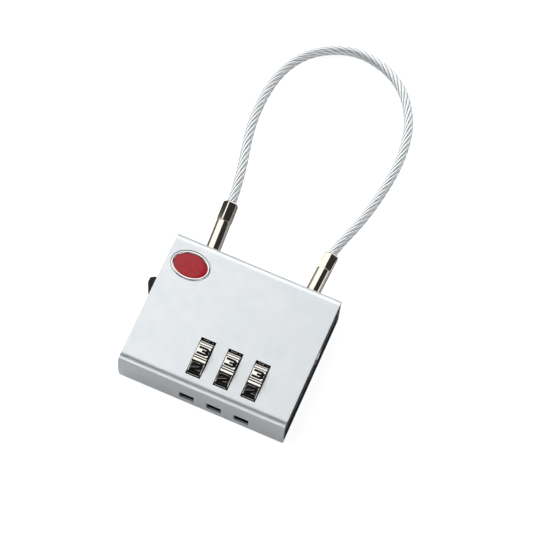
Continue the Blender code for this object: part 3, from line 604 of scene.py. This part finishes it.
def casing_outline():
    """Outer section: rounded top edges, a roll and a lip low on the front, and a bulged bottom."""
    back_y = FLAT_END - 0.6 * MM
    points = arc(TOP - BACK_EDGE_RADIUS, BACK_EDGE_RADIUS, BACK_EDGE_RADIUS, -90, 0, 10)
    points += arc(TOP - FRONT_EDGE_RADIUS, THICKNESS - FRONT_EDGE_RADIUS, FRONT_EDGE_RADIUS, 0, 90, 24)
    points += front_roll(3)
    points += bottom_arc(BOTTOM_RADIUS, points[-1][1], 1.1 * MM, 24)[1:]
    points += arc(back_y, BOTTOM_BACK_RADIUS, BOTTOM_BACK_RADIUS, 200, 270, 8)
    return points


def cavity_outline(inset=0.0):
    """Inner section of the casing, drawn in by an inset for what fills it."""
    low_z = WALL + inset
    high_z = THICKNESS - WALL - inset
    edge = INNER_EDGE_RADIUS
    top_y = TOP - WALL - inset
    front_low_y = FLAT_END + inset
    points = arc(top_y - edge, low_z + edge, edge, -90, 0, 5)
    points += arc(top_y - edge, high_z - edge, edge, 0, 90, 5)
    points += [(front_low_y, high_z)]
    points += bottom_arc(BOTTOM_RADIUS - WALL - inset, high_z - 0.7 * MM, low_z + 0.6 * MM, 12)
    points += [(front_low_y - 0.2 * MM, low_z)]
    return points


def ferrule_base(x):
    """Where a ferrule's axis crosses the casing's top face."""
    return Vector((x, TOP, MIDDLE_Z))


def lean_direction(lean):
    """Direction of a ferrule's axis, leaning outwards in the XY plane."""
    return Vector((math.sin(lean), math.cos(lean), 0.0))


def oval_ring(length, width, z, count=96):
    """Points of an ellipse round the badge's centre."""
    turns = [2 * math.pi * i / count for i in range(count)]
    return [(BADGE_X + length / 2 * math.cos(a), BADGE_Y + width / 2 * math.sin(a), z) for a in turns]


def make_casing(aluminium, bright, shade_paint):
    """The extruded casing with windows, slots with pockets behind, ferrule holes and a recess."""
    half = WIDTH / 2
    over = 2 * MM
    margin = 0.5 * MM
    drop = 2 * MM
    hole_gap = 0.15 * MM
    recess_gap = 0.3 * MM
    casing = prism_x("casing_shell", casing_outline(), -half, half, aluminium)
    # The cavity, window and pocket cutters pass their near-black painted shade to the walls they cut
    cutters = [prism_x("cut_cavity", cavity_outline(), -half - over, half + over, shade_paint)]
    for i, x in enumerate(WHEEL_X):
        cutters.append(round_rod(f"cut_window_{i}", (x, WHEEL_AXIS_Y, WHEEL_AXIS_Z), (1, 0, 0),
                                 -WINDOW_WIDTH / 2, WINDOW_WIDTH / 2, WINDOW_RADIUS, 160, [shade_paint]))
        low_x = x - SLOT_WIDTH / 2
        high_x = x + SLOT_WIDTH / 2
        cutters.append(block(f"cut_slot_{i}", (low_x, -TOP - over, SLOT_LOW_Z),
                             (high_x, -TOP + over, SLOT_HIGH_Z)))
        cutters.append(block(f"cut_slot_pocket_{i}",
                             (low_x - margin, -TOP + SLOT_WALL, SLOT_LOW_Z - drop),
                             (high_x + margin, -TOP + over, SLOT_HIGH_Z + margin), shade_paint))
    for x, lean in ((LEFT_FERRULE_X, LEFT_LEAN), (RIGHT_FERRULE_X, RIGHT_LEAN)):
        cutters.append(round_rod("cut_hole", ferrule_base(x), lean_direction(lean), -over, over,
                                 FERRULE_RADIUS + hole_gap))
    recess_size = (BADGE_LENGTH + recess_gap, BADGE_WIDTH + recess_gap)
    recess = [oval_ring(*recess_size, z) for z in (THICKNESS - BADGE_RECESS, THICKNESS + over)]
    cutters.append(loft("cut_badge", recess))
    combine(casing, "DIFFERENCE", *cutters)
    soften(casing, EDGE_BREAK, finish=bright)
    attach(casing, "case")
    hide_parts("casing")


def make_end_caps(plastic):
    """Black moulded caps in both ends, each with a shallow sunk panel."""
    outer = WIDTH / 2 - CAP_INSET
    inner = outer - CAP_DEPTH
    over = 1 * MM
    panel_depth = 0.25 * MM
    panel_margin = 1.1 * MM
    room = 0.2 * MM
    for side, name in ((-1, "left_end_cap"), (1, "right_end_cap")):
        x_low, x_high = sorted((side * outer, side * inner))
        cap = prism_x(name + "_moulding", cavity_outline(CAP_GAP), x_low, x_high, plastic)
        face_low, face_high = sorted((side * (outer - panel_depth), side * (outer + over)))
        cutters = [prism_x("cut_panel", cavity_outline(panel_margin), face_low, face_high)]
        if side < 0:
            cutters.append(block("cut_button_hole",
                                 (x_low - over, BUTTON_LOW_Y - room, BUTTON_LOW_Z - room),
                                 (x_high + over, BUTTON_HIGH_Y + room, BUTTON_HIGH_Z + room)))
        else:
            cutters.append(round_rod("cut_key_hole", (0, KEY_Y, MIDDLE_Z), (1, 0, 0), x_low - over,
                                     x_high + over, KEY_COLLAR_RADIUS + CAP_GAP))
        combine(cap, "DIFFERENCE", *cutters)
        soften(cap, 0.12 * MM)
        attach(cap, "case")
        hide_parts(name)


# -------- number wheels

def wheel_profile():
    """(radius, angle, groove) points of a wheel's rim: flat lands for the digits, grip ribs between; the
    groove flag marks painted black shade.
    """
    pitch = 2 * math.pi / WHEEL_DIGITS
    land = pitch * LAND_SHARE
    chord = WHEEL_RADIUS * math.cos(land / 2)
    ribs = [width / WHEEL_RADIUS for width in GRIP_RIBS]
    groove = (pitch - land - sum(ribs)) / (len(ribs) + 1)
    wall = 0.15 * groove
    floor = WHEEL_RADIUS - GRIP_DEPTH
    shoulder = WHEEL_RADIUS - 0.02 * MM
    land_steps = 6
    points = []
    for digit in range(WHEEL_DIGITS):
        middle = math.pi / 2 - DIGIT_TILT + digit * pitch
        for i in range(land_steps + 1):
            angle = -land / 2 + land * i / land_steps
            points.append((chord / math.cos(angle), middle + angle, 0.0))
        start = middle + land / 2
        for rib in ribs + [0.0]:
            points.append((floor, start + wall, 1.0))
            points.append((floor, start + groove - wall, 1.0))
            start += groove
            if rib:
                points.append((shoulder, start, 0.0))
                points.append((WHEEL_RADIUS, start + rib / 2, 0.0))
                points.append((shoulder, start + rib, 0.0))
                start += rib
    return points


def wheel_ring(profile, x, inset):
    """The rim's section at x, drawn in towards the axis."""
    return [(x, WHEEL_AXIS_Y + (r - inset) * math.cos(a), WHEEL_AXIS_Z + (r - inset) * math.sin(a))
            for r, a, groove in profile]


def pen_offsets(points, closed, pen):
    """For each point of a centre line, the points half a pen to its left and right, mitred."""
    count = len(points)
    sides = []
    for i, point in enumerate(points):
        here = Vector(point)
        before = Vector(points[i - 1]) if closed or i > 0 else None
        after = Vector(points[(i + 1) % count]) if closed or i < count - 1 else None
        first = (here - before).normalized() if before is not None else (after - here).normalized()
        second = (after - here).normalized() if after is not None else first
        normal = Vector((-(first + second).y, (first + second).x)).normalized()
        reach = pen / 2 / max(0.5, normal.dot(Vector((-first.y, first.x))))
        sides.append((here + normal * reach, here - normal * reach))
    return sides


def digit_solid(digit, spread):
    """One digit as a plate in its unit cell, centred on the origin, with walls that spread at its foot."""
    bm = bmesh.new()
    middle = Vector((0.5, 0.5))
    for kind, *points in DIGIT_STROKES[digit]:
        closed = kind == "loop"
        foot = pen_offsets(points, closed, PEN + 2 * spread)
        top = pen_offsets(points, closed, PEN)
        sections = []
        for foot_sides, top_sides in zip(foot, top):
            low = [(*(side - middle), 0.0) for side in foot_sides]
            high = [(*(side - middle), 1.0) for side in reversed(top_sides)]
            sections.append(low + high)
        skin(bm, sections, "joined" if closed else "flat")
    return mesh_object(f"digit_{digit}", bm)


def place_digit(mesh, wheel_x, digit, low, high):
    """The mesh's points on this digit's land, from low to high over it, on the wheel at wheel_x."""
    pitch = 2 * math.pi / WHEEL_DIGITS
    angle = math.pi / 2 - DIGIT_TILT - (digit - SHOWN_DIGIT) * pitch
    outwards = Vector((0, math.cos(angle), math.sin(angle)))
    up = Vector((0, math.sin(angle), -math.cos(angle)))
    chord = WHEEL_RADIUS * math.cos(pitch * LAND_SHARE / 2)
    centre = Vector((wheel_x, WHEEL_AXIS_Y, WHEEL_AXIS_Z)) + outwards * (chord + low)
    thick = high - low
    width, height = DIGIT_CELL
    return [centre + Vector((width, 0, 0)) * v.co.x + up * (height * v.co.y) + outwards * (thick * v.co.z)
            for v in mesh.vertices]


def wheel_digits(name, solids, wheel_x, low, high, finish):
    """The digits of one wheel as one object, from low to high over their lands."""
    bm = bmesh.new()
    for digit, solid in enumerate(solids):
        verts = [bm.verts.new(point) for point in place_digit(solid.data, wheel_x, digit, low, high)]
        for face in solid.data.polygons:
            bm.faces.new([verts[k] for k in face.vertices])
    return mesh_object(name, bm, finish, sharp=10)


def make_wheels(nickel, edge_nickel, paint):
    """Three wheels, each with ten digits that ride with it, raised in nickel and painted black."""
    profile = wheel_profile()
    bore = [(WHEEL_BORE, angle, groove) for radius, angle, groove in profile]
    groove_shade = [groove for radius, angle, groove in profile]
    half = WHEEL_WIDTH / 2
    straight = [digit_solid(digit, 0.0) for digit in range(WHEEL_DIGITS)]
    spread = [digit_solid(digit, DIGIT_SPREAD) for digit in range(WHEEL_DIGITS)]
    for i, (x, body) in enumerate(zip(WHEEL_X, ("left_dial", "middle_dial", "right_dial"))):
        rings = [wheel_ring(bore, x - half, 0), wheel_ring(profile, x - half, WHEEL_CHAMFER),
                 wheel_ring(profile, x - half + WHEEL_CHAMFER, 0),
                 wheel_ring(profile, x + half - WHEEL_CHAMFER, 0),
                 wheel_ring(profile, x + half, WHEEL_CHAMFER), wheel_ring(bore, x + half, 0)]
        wheel = loft(f"wheel_{i + 1}", rings, nickel, ends="joined", sharp=28)
        marks = wheel.data.attributes.new("groove", "FLOAT", "POINT")
        marks.data.foreach_set("value", groove_shade * len(rings))
        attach(wheel, body)
        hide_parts(f"dial_{i + 1}")
        digits = wheel_digits(f"wheel_{i + 1}_digits", straight, x, PAINT_LOW, PAINT_HIGH, paint)
        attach(digits, body)
        edges = wheel_digits(f"wheel_{i + 1}_digit_edges", spread, x, DIGIT_FOOT, DIGIT_TOP, edge_nickel)
        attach(edges, body)
    for solid in straight + spread:
        bpy.data.objects.remove(solid)


# -------- ferrules, cable

def ferrule_stations(shank, notch, crimp_start, top, hex_turn):
    """Stations of a ferrule, from the shank's tip to the bottom of the mouth that takes the cable."""
    tip = 0.4 * MM
    stations = [(-shank, SHANK_RADIUS - tip, 0, 0), (-shank + tip, SHANK_RADIUS, 0, 0)]
    if notch is not None:
        neck = SHANK_RADIUS - 0.55 * MM
        half = 1.0 * MM
        stations += [(notch - half, SHANK_RADIUS, 0, 0), (notch - half, neck, 0, 0),
                     (notch + half, neck, 0, 0), (notch + half, SHANK_RADIUS, 0, 0)]
    sleeve = -2.8 * MM
    round_edge = 0.12 * MM
    stations += [(sleeve, SHANK_RADIUS, 0, 0), (sleeve, FERRULE_RADIUS - round_edge, 0, 0),
                 (sleeve + round_edge, FERRULE_RADIUS, 0, 0),
                 (crimp_start - 0.1 * MM, FERRULE_RADIUS, 0, 0)]
    for rise, inset in ((0.05, 0.175), (0.3, 0.05), (0.55, 0.0)):
        stations.append((crimp_start + rise * MM, CRIMP_RADIUS - inset * MM, CRIMP_SHARPNESS, hex_turn))
    for drop, inset in ((0.45, 0.0), (0.2, 0.06), (0.05, 0.18), (0.0, 0.32)):
        stations.append((top - drop * MM, CRIMP_RADIUS - inset * MM, CRIMP_SHARPNESS, hex_turn))
    mouth = CABLE_RADIUS + 0.08 * MM
    stations += [(top, mouth + 0.1 * MM, 0, 0), (top - 0.1 * MM, mouth, 0, 0),
                 (top - CABLE_TUCK - 0.4 * MM, mouth, 0, 0)]
    return stations


def make_ferrules(nickel):
    """The plug that pulls out on the left, and the fixed ferrule with its cross hole on the right."""
    base = ferrule_base(LEFT_FERRULE_X)
    stations = ferrule_stations(LEFT_SHANK, LEFT_NOTCH, LEFT_CRIMP_START, LEFT_FERRULE_TOP, LEFT_HEX_TURN)
    plug = loft("plug_ferrule_body", lathe_rings(base, lean_direction(LEFT_LEAN), stations, 96), nickel,
                sharp=26)
    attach(plug, "plug")
    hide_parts("plug_ferrule")
    base = ferrule_base(RIGHT_FERRULE_X)
    direction = lean_direction(RIGHT_LEAN)
    stations = ferrule_stations(RIGHT_SHANK, None, RIGHT_CRIMP_START, RIGHT_FERRULE_TOP, RIGHT_HEX_TURN)
    fixed = loft("fixed_ferrule_body", lathe_rings(base, direction, stations, 96), nickel, sharp=26)
    pin_place = base - direction * PIN_DEPTH
    combine(fixed, "DIFFERENCE", round_rod("cut_pin", pin_place, (0, 0, 1), -5 * MM, 5 * MM,
                                           PIN_RADIUS + 0.1 * MM, 32))
    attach(fixed, "case")
    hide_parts("fixed_ferrule")


def smooth_route(points, count):
    """Evenly spaced points on a natural cubic spline through the given ones."""
    knots = np.array(points)
    steps = np.linalg.norm(np.diff(knots, axis=0), axis=1)
    at = np.concatenate([[0.0], np.cumsum(steps)])
    n = len(knots)
    system = np.eye(n)
    right = np.zeros((n, 3))
    for i in range(1, n - 1):
        before, after = steps[i - 1], steps[i]
        system[i, i - 1:i + 2] = before, 2 * (before + after), after
        slope_after = (knots[i + 1] - knots[i]) / after
        slope_before = (knots[i] - knots[i - 1]) / before
        right[i] = 6 * (slope_after - slope_before)
    bend = np.linalg.solve(system, right)
    made = []
    for s in np.linspace(0.0, at[-1], count):
        i = min(int(np.searchsorted(at, s, side="right")) - 1, n - 2)
        h = steps[i]
        a, b = (at[i + 1] - s) / h, (s - at[i]) / h
        curve = ((a ** 3 - a) * bend[i] + (b ** 3 - b) * bend[i + 1]) * h * h / 6
        made.append(a * knots[i] + b * knots[i + 1] + curve)
    return [Vector(point) for point in made]


def cable_path():
    """The cable's centre line, tucked into both ferrules."""
    route = [(x * MM, TOP + height * MM, z * MM) for x, height, z in CABLE_ROUTE_MM]
    middle = smooth_route(route, CABLE_STEPS)
    left_end = middle[0] - lean_direction(LEFT_LEAN) * CABLE_TUCK
    right_end = middle[-1] - lean_direction(RIGHT_LEAN) * CABLE_TUCK
    tuck_steps = 12
    into_left = [left_end.lerp(middle[0], i / tuck_steps) for i in range(tuck_steps)]
    into_right = [middle[-1].lerp(right_end, (i + 1) / tuck_steps) for i in range(tuck_steps)]
    return into_left + middle + into_right


def strand_section(count):
    """Radius, painted groove shade and painted highlight round one strand's share of the cable."""
    half = math.pi / CABLE_STRANDS
    overlap = 1.04
    circle = overlap * CABLE_RADIUS * math.sin(half) / (1 + math.sin(half))
    centre = CABLE_RADIUS - circle
    filling = 0.45
    section = []
    for i in range(count):
        share = 2.0 * i / count - 1.0
        across = centre * math.sin(half * share)
        inside = circle ** 2 - across ** 2
        reach = centre * math.cos(half * share) + math.sqrt(max(0.0, inside))
        radius = reach + filling * (CABLE_RADIUS - reach)
        # Second number: painted shade towards the strand's edges; third: painted highlight bands either side
        # of its middle
        section.append((radius, abs(share) ** 4, 0.5 - 0.5 * math.cos(2 * math.pi * share)))
    return section


def make_cable(finish):
    """The twisted cable: strands in a right-hand lay, under a jacket that follows them."""
    path = cable_path()
    per_strand = 16
    section = strand_section(per_strand) * CABLE_STRANDS
    around = len(section)
    rings = []
    side = Vector((0, 0, 1))
    travelled = 0.0
    for i, point in enumerate(path):
        before = path[max(0, i - 1)]
        after = path[min(len(path) - 1, i + 1)]
        forward = (after - before).normalized()
        side = (side - forward * side.dot(forward)).normalized()
        other = forward.cross(side)
        travelled += (point - before).length
        twist = 2 * math.pi * travelled / CABLE_LAY
        ring = []
        for k, (radius, groove, painted_highlight) in enumerate(section):
            angle = twist + 2 * math.pi * k / around
            ring.append(point + side * (radius * math.cos(angle)) + other * (radius * math.sin(angle)))
        rings.append(ring)
    cable = loft("cable_strands", rings, finish, sharp=75)
    # Store the painted shade and the painted highlight on the mesh
    for name, column in (("groove", 1), ("painted_highlight", 2)):
        marks = cable.data.attributes.new(name, "FLOAT", "POINT")
        marks.data.foreach_set("value", [mark[column] for mark in section] * len(rings))
    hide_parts("cable")
    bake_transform(cable)


# -------- springs

def coil(name, base, direction, length, shape, finish):
    """A round-wire spring along an axis, from its (radius, wire's radius, turns)."""
    radius, wire, turns = shape
    steps_per_turn = 20
    sides = 8
    turn = direction.to_track_quat("Z", "Y").to_matrix()
    rings = []
    for i in range(turns * steps_per_turn + 1):
        angle = 2 * math.pi * i / steps_per_turn
        rise = wire + (length - 2 * wire) * i / (turns * steps_per_turn)
        outwards = Vector((math.cos(angle), math.sin(angle), 0))
        ring = []
        for k in range(sides):
            around = 2 * math.pi * k / sides
            offset = outwards * (radius + wire * math.cos(around))
            offset.z = rise + wire * math.sin(around)
            ring.append(base + turn @ offset)
        rings.append(ring)
    return loft(name, rings, finish)


def make_springs(steel):
    """The latch spring and the ejector spring."""
    plug_axis = lean_direction(LEFT_LEAN)
    latch_end = Vector((LATCH_SPRING_X[0], KEY_Y, MIDDLE_Z))
    latch_length = LATCH_SPRING_X[1] - LATCH_SPRING_X[0]
    seat = ferrule_base(LEFT_FERRULE_X) + plug_axis * EJECTOR_SPRING[0]
    ejector_length = EJECTOR_SPRING[1] - EJECTOR_SPRING[0]
    springs = [
        ("latch_spring", "button", latch_end, Vector((1, 0, 0)), latch_length, LATCH_COIL),
        ("ejector_spring", "ejector", seat, plug_axis, ejector_length, EJECTOR_COIL),
    ]
    for node, body, base, direction, length, shape in springs:
        spring = coil(node + "_coil", base, direction, length, shape, steel)
        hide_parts(node)
        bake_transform(spring)


# -------- button, key plug and badge

def make_button(plastic):
    """The push-button, with a sloped thumb face and a fine nick across it."""
    outer = -WIDTH / 2 - BUTTON_PROUD
    slope_top = BUTTON_HIGH_Y - 2.2 * MM
    outline = [
        (BUTTON_INNER_X, BUTTON_LOW_Y),
        (BUTTON_INNER_X, BUTTON_HIGH_Y),
        (outer + 1.2 * MM, BUTTON_HIGH_Y),
        (outer, BUTTON_HIGH_Y - 0.7 * MM),
        (outer, slope_top),
        (outer + 1.5 * MM, BUTTON_LOW_Y),
    ]
    rings = [[(x, y, z) for x, y in outline] for z in (BUTTON_LOW_Z, BUTTON_HIGH_Z)]
    button = loft("button_body", rings, plastic)
    soften(button, 0.3 * MM, 4, 20)
    nick = (outer + NICK_INSET, BUTTON_HIGH_Y - NICK_DROP, MIDDLE_Z)
    combine(button, "DIFFERENCE", round_rod("cut_nick", nick, (0, 0, 1), -NICK_REACH, NICK_REACH,
                                            NICK_RADIUS, 16))
    button.data.shade_smooth()
    button.data.set_sharp_from_angle(angle=math.radians(35))
    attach(button, "button")
    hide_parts("release_button")


def make_key_plug(nickel):
    """The key plug's face with its keyway, and the collar round it."""
    centre = (0, KEY_Y, MIDDLE_Z)
    edge = 0.2 * MM
    stations = [(KEY_LOW_X, KEY_RADIUS, 0, 0), (KEY_HIGH_X - edge, KEY_RADIUS, 0, 0),
                (KEY_HIGH_X - 0.06 * MM, KEY_RADIUS - 0.06 * MM, 0, 0), (KEY_HIGH_X, KEY_RADIUS - edge, 0, 0)]
    plug = loft("key_plug_body", lathe_rings(centre, (1, 0, 0), stations), nickel)
    low_x = KEY_HIGH_X - 5 * MM
    high_x = KEY_HIGH_X + 1 * MM
    keyway = block("cut_keyway", (low_x, KEY_Y - 1.5 * MM, MIDDLE_Z - 0.35 * MM),
                   (high_x, KEY_Y + 1.5 * MM, MIDDLE_Z + 0.35 * MM))
    step = block("cut_keyway_step", (low_x, KEY_Y - 0.5 * MM, MIDDLE_Z + 0.2 * MM),
                 (high_x, KEY_Y + 0.3 * MM, MIDDLE_Z + 0.75 * MM))
    combine(plug, "DIFFERENCE", keyway, step)
    soften(plug, 0.05 * MM, 1)
    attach(plug, "key")
    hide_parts("key_plug")
    inner = KEY_RADIUS + 0.12 * MM
    rings = [(KEY_COLLAR_LOW_X, inner, 0, 0), (KEY_COLLAR_LOW_X, KEY_COLLAR_RADIUS, 0, 0),
             (KEY_COLLAR_HIGH_X - 0.25 * MM, KEY_COLLAR_RADIUS, 0, 0),
             (KEY_COLLAR_HIGH_X - 0.07 * MM, KEY_COLLAR_RADIUS - 0.07 * MM, 0, 0),
             (KEY_COLLAR_HIGH_X, KEY_COLLAR_RADIUS - 0.25 * MM, 0, 0),
             (KEY_COLLAR_HIGH_X, inner + 0.25 * MM, 0, 0), (KEY_COLLAR_HIGH_X - 0.3 * MM, inner, 0, 0)]
    collar = loft("key_collar_ring", lathe_rings(centre, (1, 0, 0), rings), nickel, ends="joined")
    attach(collar, "case")
    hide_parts("key_collar")


def make_badge(nickel, enamel):
    """A plain oval badge: a rounded metal rim, and a red field that swells a little in the middle."""
    floor = THICKNESS - BADGE_RECESS + 0.05 * MM
    rim_rise = 0.28 * MM
    shoulder = THICKNESS + 0.1 * MM - rim_rise
    steps = 10
    rings = [oval_ring(BADGE_LENGTH, BADGE_WIDTH, floor)]
    for i in range(steps + 1):
        angle = math.pi * i / steps
        inset = BADGE_RIM / 2 * (1 - math.cos(angle))
        rise = rim_rise * math.sin(angle)
        rings.append(oval_ring(BADGE_LENGTH - 2 * inset, BADGE_WIDTH - 2 * inset, shoulder + rise))
    rings.append(oval_ring(BADGE_LENGTH - 2 * BADGE_RIM, BADGE_WIDTH - 2 * BADGE_RIM, floor))
    rim = loft("badge_rim_ring", rings, nickel, ends="joined")
    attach(rim, "case")
    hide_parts("badge_rim")
    gap = 0.06 * MM
    length = BADGE_LENGTH - 2 * BADGE_RIM - gap
    width = BADGE_WIDTH - 2 * BADGE_RIM - gap
    edge = THICKNESS - 0.22 * MM
    swell = 0.2 * MM
    rings = [oval_ring(length, width, floor), oval_ring(length, width, edge)]
    for share in (0.97, 0.9, 0.75, 0.55, 0.35, 0.15):
        rings.append(oval_ring(length * share, width * share, edge + swell * math.sqrt(1 - share ** 2)))
    field = loft("badge_field_enamel", rings, enamel)
    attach(field, "case")
    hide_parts("badge_field")


# -------- stage, light and camera

def make_floor():
    """A wide pale floor just under the lock's back, dark on the left where only reflections see it."""
    grey = (FLOOR_GREY,) * 3
    shader = Shader("pale_floor", grey, 0.9, 0.0)
    shader.set("Specular IOR Level", 0.0)
    shader.set("Emission Color", (1.0, 1.0, 1.0, 1.0))
    seen = shader.tree.nodes.new("ShaderNodeLightPath").outputs["Is Camera Ray"]
    shader.link(shader.span(seen, 0.0, FLOOR_GLOW, 0.0, 1.0), "Emission Strength")
    along = shader.tree.nodes.new("ShaderNodeSeparateXYZ")
    shader.tree.links.new(shader.coordinates, along.inputs["Vector"])
    rightwards = shader.span(along.outputs["X"], 0.0, 1.0, *FLOOR_DARK_X)
    reflected = shader.blend(rightwards, (FLOOR_DARK,) * 3, grey)
    shader.link(shader.blend(seen, reflected, grey), "Base Color")
    bm = bmesh.new()
    corners = [(-1, -1), (1, -1), (1, 1), (-1, 1)]
    bm.faces.new([bm.verts.new((x * FLOOR_REACH, y * FLOOR_REACH, FLOOR_Z)) for x, y in corners])
    floor = mesh_object("floor", bm, shader.material)


class SkyNodes:
    """Number nodes for the surround's brightness."""

    def __init__(self, tree):
        self.tree = tree

    def math(self, operation, first, second):
        """One sum on two numbers or sockets."""
        node = self.tree.nodes.new("ShaderNodeMath")
        node.operation = operation
        for socket, value in zip(node.inputs, (first, second)):
            if isinstance(value, (int, float)):
                socket.default_value = value
            else:
                self.tree.links.new(value, socket)
        return node.outputs["Value"]

    def ramp(self, value, start, end, low=0.0, high=1.0):
        """A smooth step from low to high while the value goes from start to end."""
        node = map_range(self.tree, value, start, end, low, high)
        node.interpolation_type = "SMOOTHSTEP"
        return node.outputs["Result"]

    def card(self, value, start, full, fade, end):
        """1 on a dark card between two soft edges, and 0 off it."""
        return self.math("MULTIPLY", self.ramp(value, start, full), self.ramp(value, fade, end, 1.0, 0.0))


def make_light():
    """Plain studio light: a bright surround with a dark card to the right and one in front.

    The camera itself sees a plain pale backdrop instead.
    """
    world = bpy.data.worlds.new("surround")
    world.use_nodes = True
    tree = world.node_tree
    sky = SkyNodes(tree)
    parts = tree.nodes.new("ShaderNodeSeparateXYZ")
    direction = tree.nodes.new("ShaderNodeTexCoord").outputs["Generated"]
    tree.links.new(direction, parts.inputs["Vector"])
    x, y, z = parts.outputs
    right = sky.math("MULTIPLY", sky.card(x, *RIGHT_CARD_X), sky.card(y, *RIGHT_CARD_Y))
    front = sky.math("MULTIPLY", sky.card(x, *FRONT_CARD_X), sky.card(y, *FRONT_CARD_Y))
    studio = sky.ramp(sky.math("MAXIMUM", right, front), 0.0, 1.0, SKY_BRIGHT, SKY_DARK)
    studio = sky.math("MULTIPLY", studio, sky.ramp(z, *SKY_HORIZON, SKY_LOW, 1.0))
    seen = tree.nodes.new("ShaderNodeLightPath").outputs["Is Camera Ray"]
    backdrop = sky.math("MULTIPLY", sky.math("SUBTRACT", BACKDROP, studio), seen)
    strength = sky.math("ADD", studio, backdrop)
    background = tree.nodes["Background"]
    background.inputs["Color"].default_value = SKY_COLOR
    tree.links.new(strength, background.inputs["Strength"])
    bpy.context.scene.world = world
    bpy.context.scene.view_settings.view_transform = "Standard"


def make_camera():
    """The long-lens camera, rolled a little about its own axis."""
    data = bpy.data.cameras.new("camera")
    data.lens = CAMERA_LENS
    data.sensor_width = CAMERA_SENSOR
    data.clip_start = 0.05
    data.clip_end = 20.0
    camera = bpy.data.objects.new("camera", data)
    bpy.context.scene.collection.objects.link(camera)
    flat = math.cos(CAMERA_ELEVATION)
    direction = Vector((math.sin(CAMERA_AZIMUTH) * flat, -math.cos(CAMERA_AZIMUTH) * flat,
                        math.sin(CAMERA_ELEVATION)))
    turn = direction.to_track_quat("Z", "Y").to_matrix().to_4x4()
    place = Matrix.Translation(Vector(CAMERA_AIM) + direction * CAMERA_DISTANCE)
    camera.matrix_world = place @ turn @ Matrix.Rotation(CAMERA_ROLL, 4, "Z")
    bpy.context.scene.camera = camera


def finish_inner_nodes(materials):
    """Gives the CAD nodes that stay as they are their own finishes."""
    finishes = {
        "cast_zinc": ["chassis_back", "chassis_front"],
        "spring_steel": ["chassis_screw_1", "chassis_screw_2", "dial_shaft", "detent_spring",
                         "latch_slide", "anchor_pin", "ejector", "key_cam"],
        "turned_brass": ["dial_cam_1", "dial_cam_2", "dial_cam_3"],
    }
    for finish, nodes in finishes.items():
        for node in nodes:
            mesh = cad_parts[node].data
            mesh.materials.clear()
            mesh.materials.append(materials[finish])


make_camera()
make_light()
make_floor()
aluminium = anodised_aluminium()
wheel_nickel = nickel_plate("wheel_nickel", (0.70, 0.67, 0.61), 0.07, 0.14, shade_grooves=True)
ferrule_nickel = nickel_plate("ferrule_nickel", (0.72, 0.67, 0.58), 0.07, 0.14)
trim_nickel = nickel_plate("trim_nickel", (0.74, 0.73, 0.71), 0.1, 0.2)
plastic = black_plastic()
make_cable(jacketed_strands())
make_ferrules(ferrule_nickel)
make_casing(aluminium, cut_aluminium(), shade_painted_aluminium())
make_end_caps(plastic)
make_wheels(wheel_nickel, ferrule_nickel, digit_paint())
make_button(plastic)
make_key_plug(trim_nickel)
make_badge(trim_nickel, red_enamel())
steel = spring_steel()
make_springs(steel)
finish_inner_nodes({"cast_zinc": cast_zinc(), "spring_steel": steel, "turned_brass": turned_brass()})
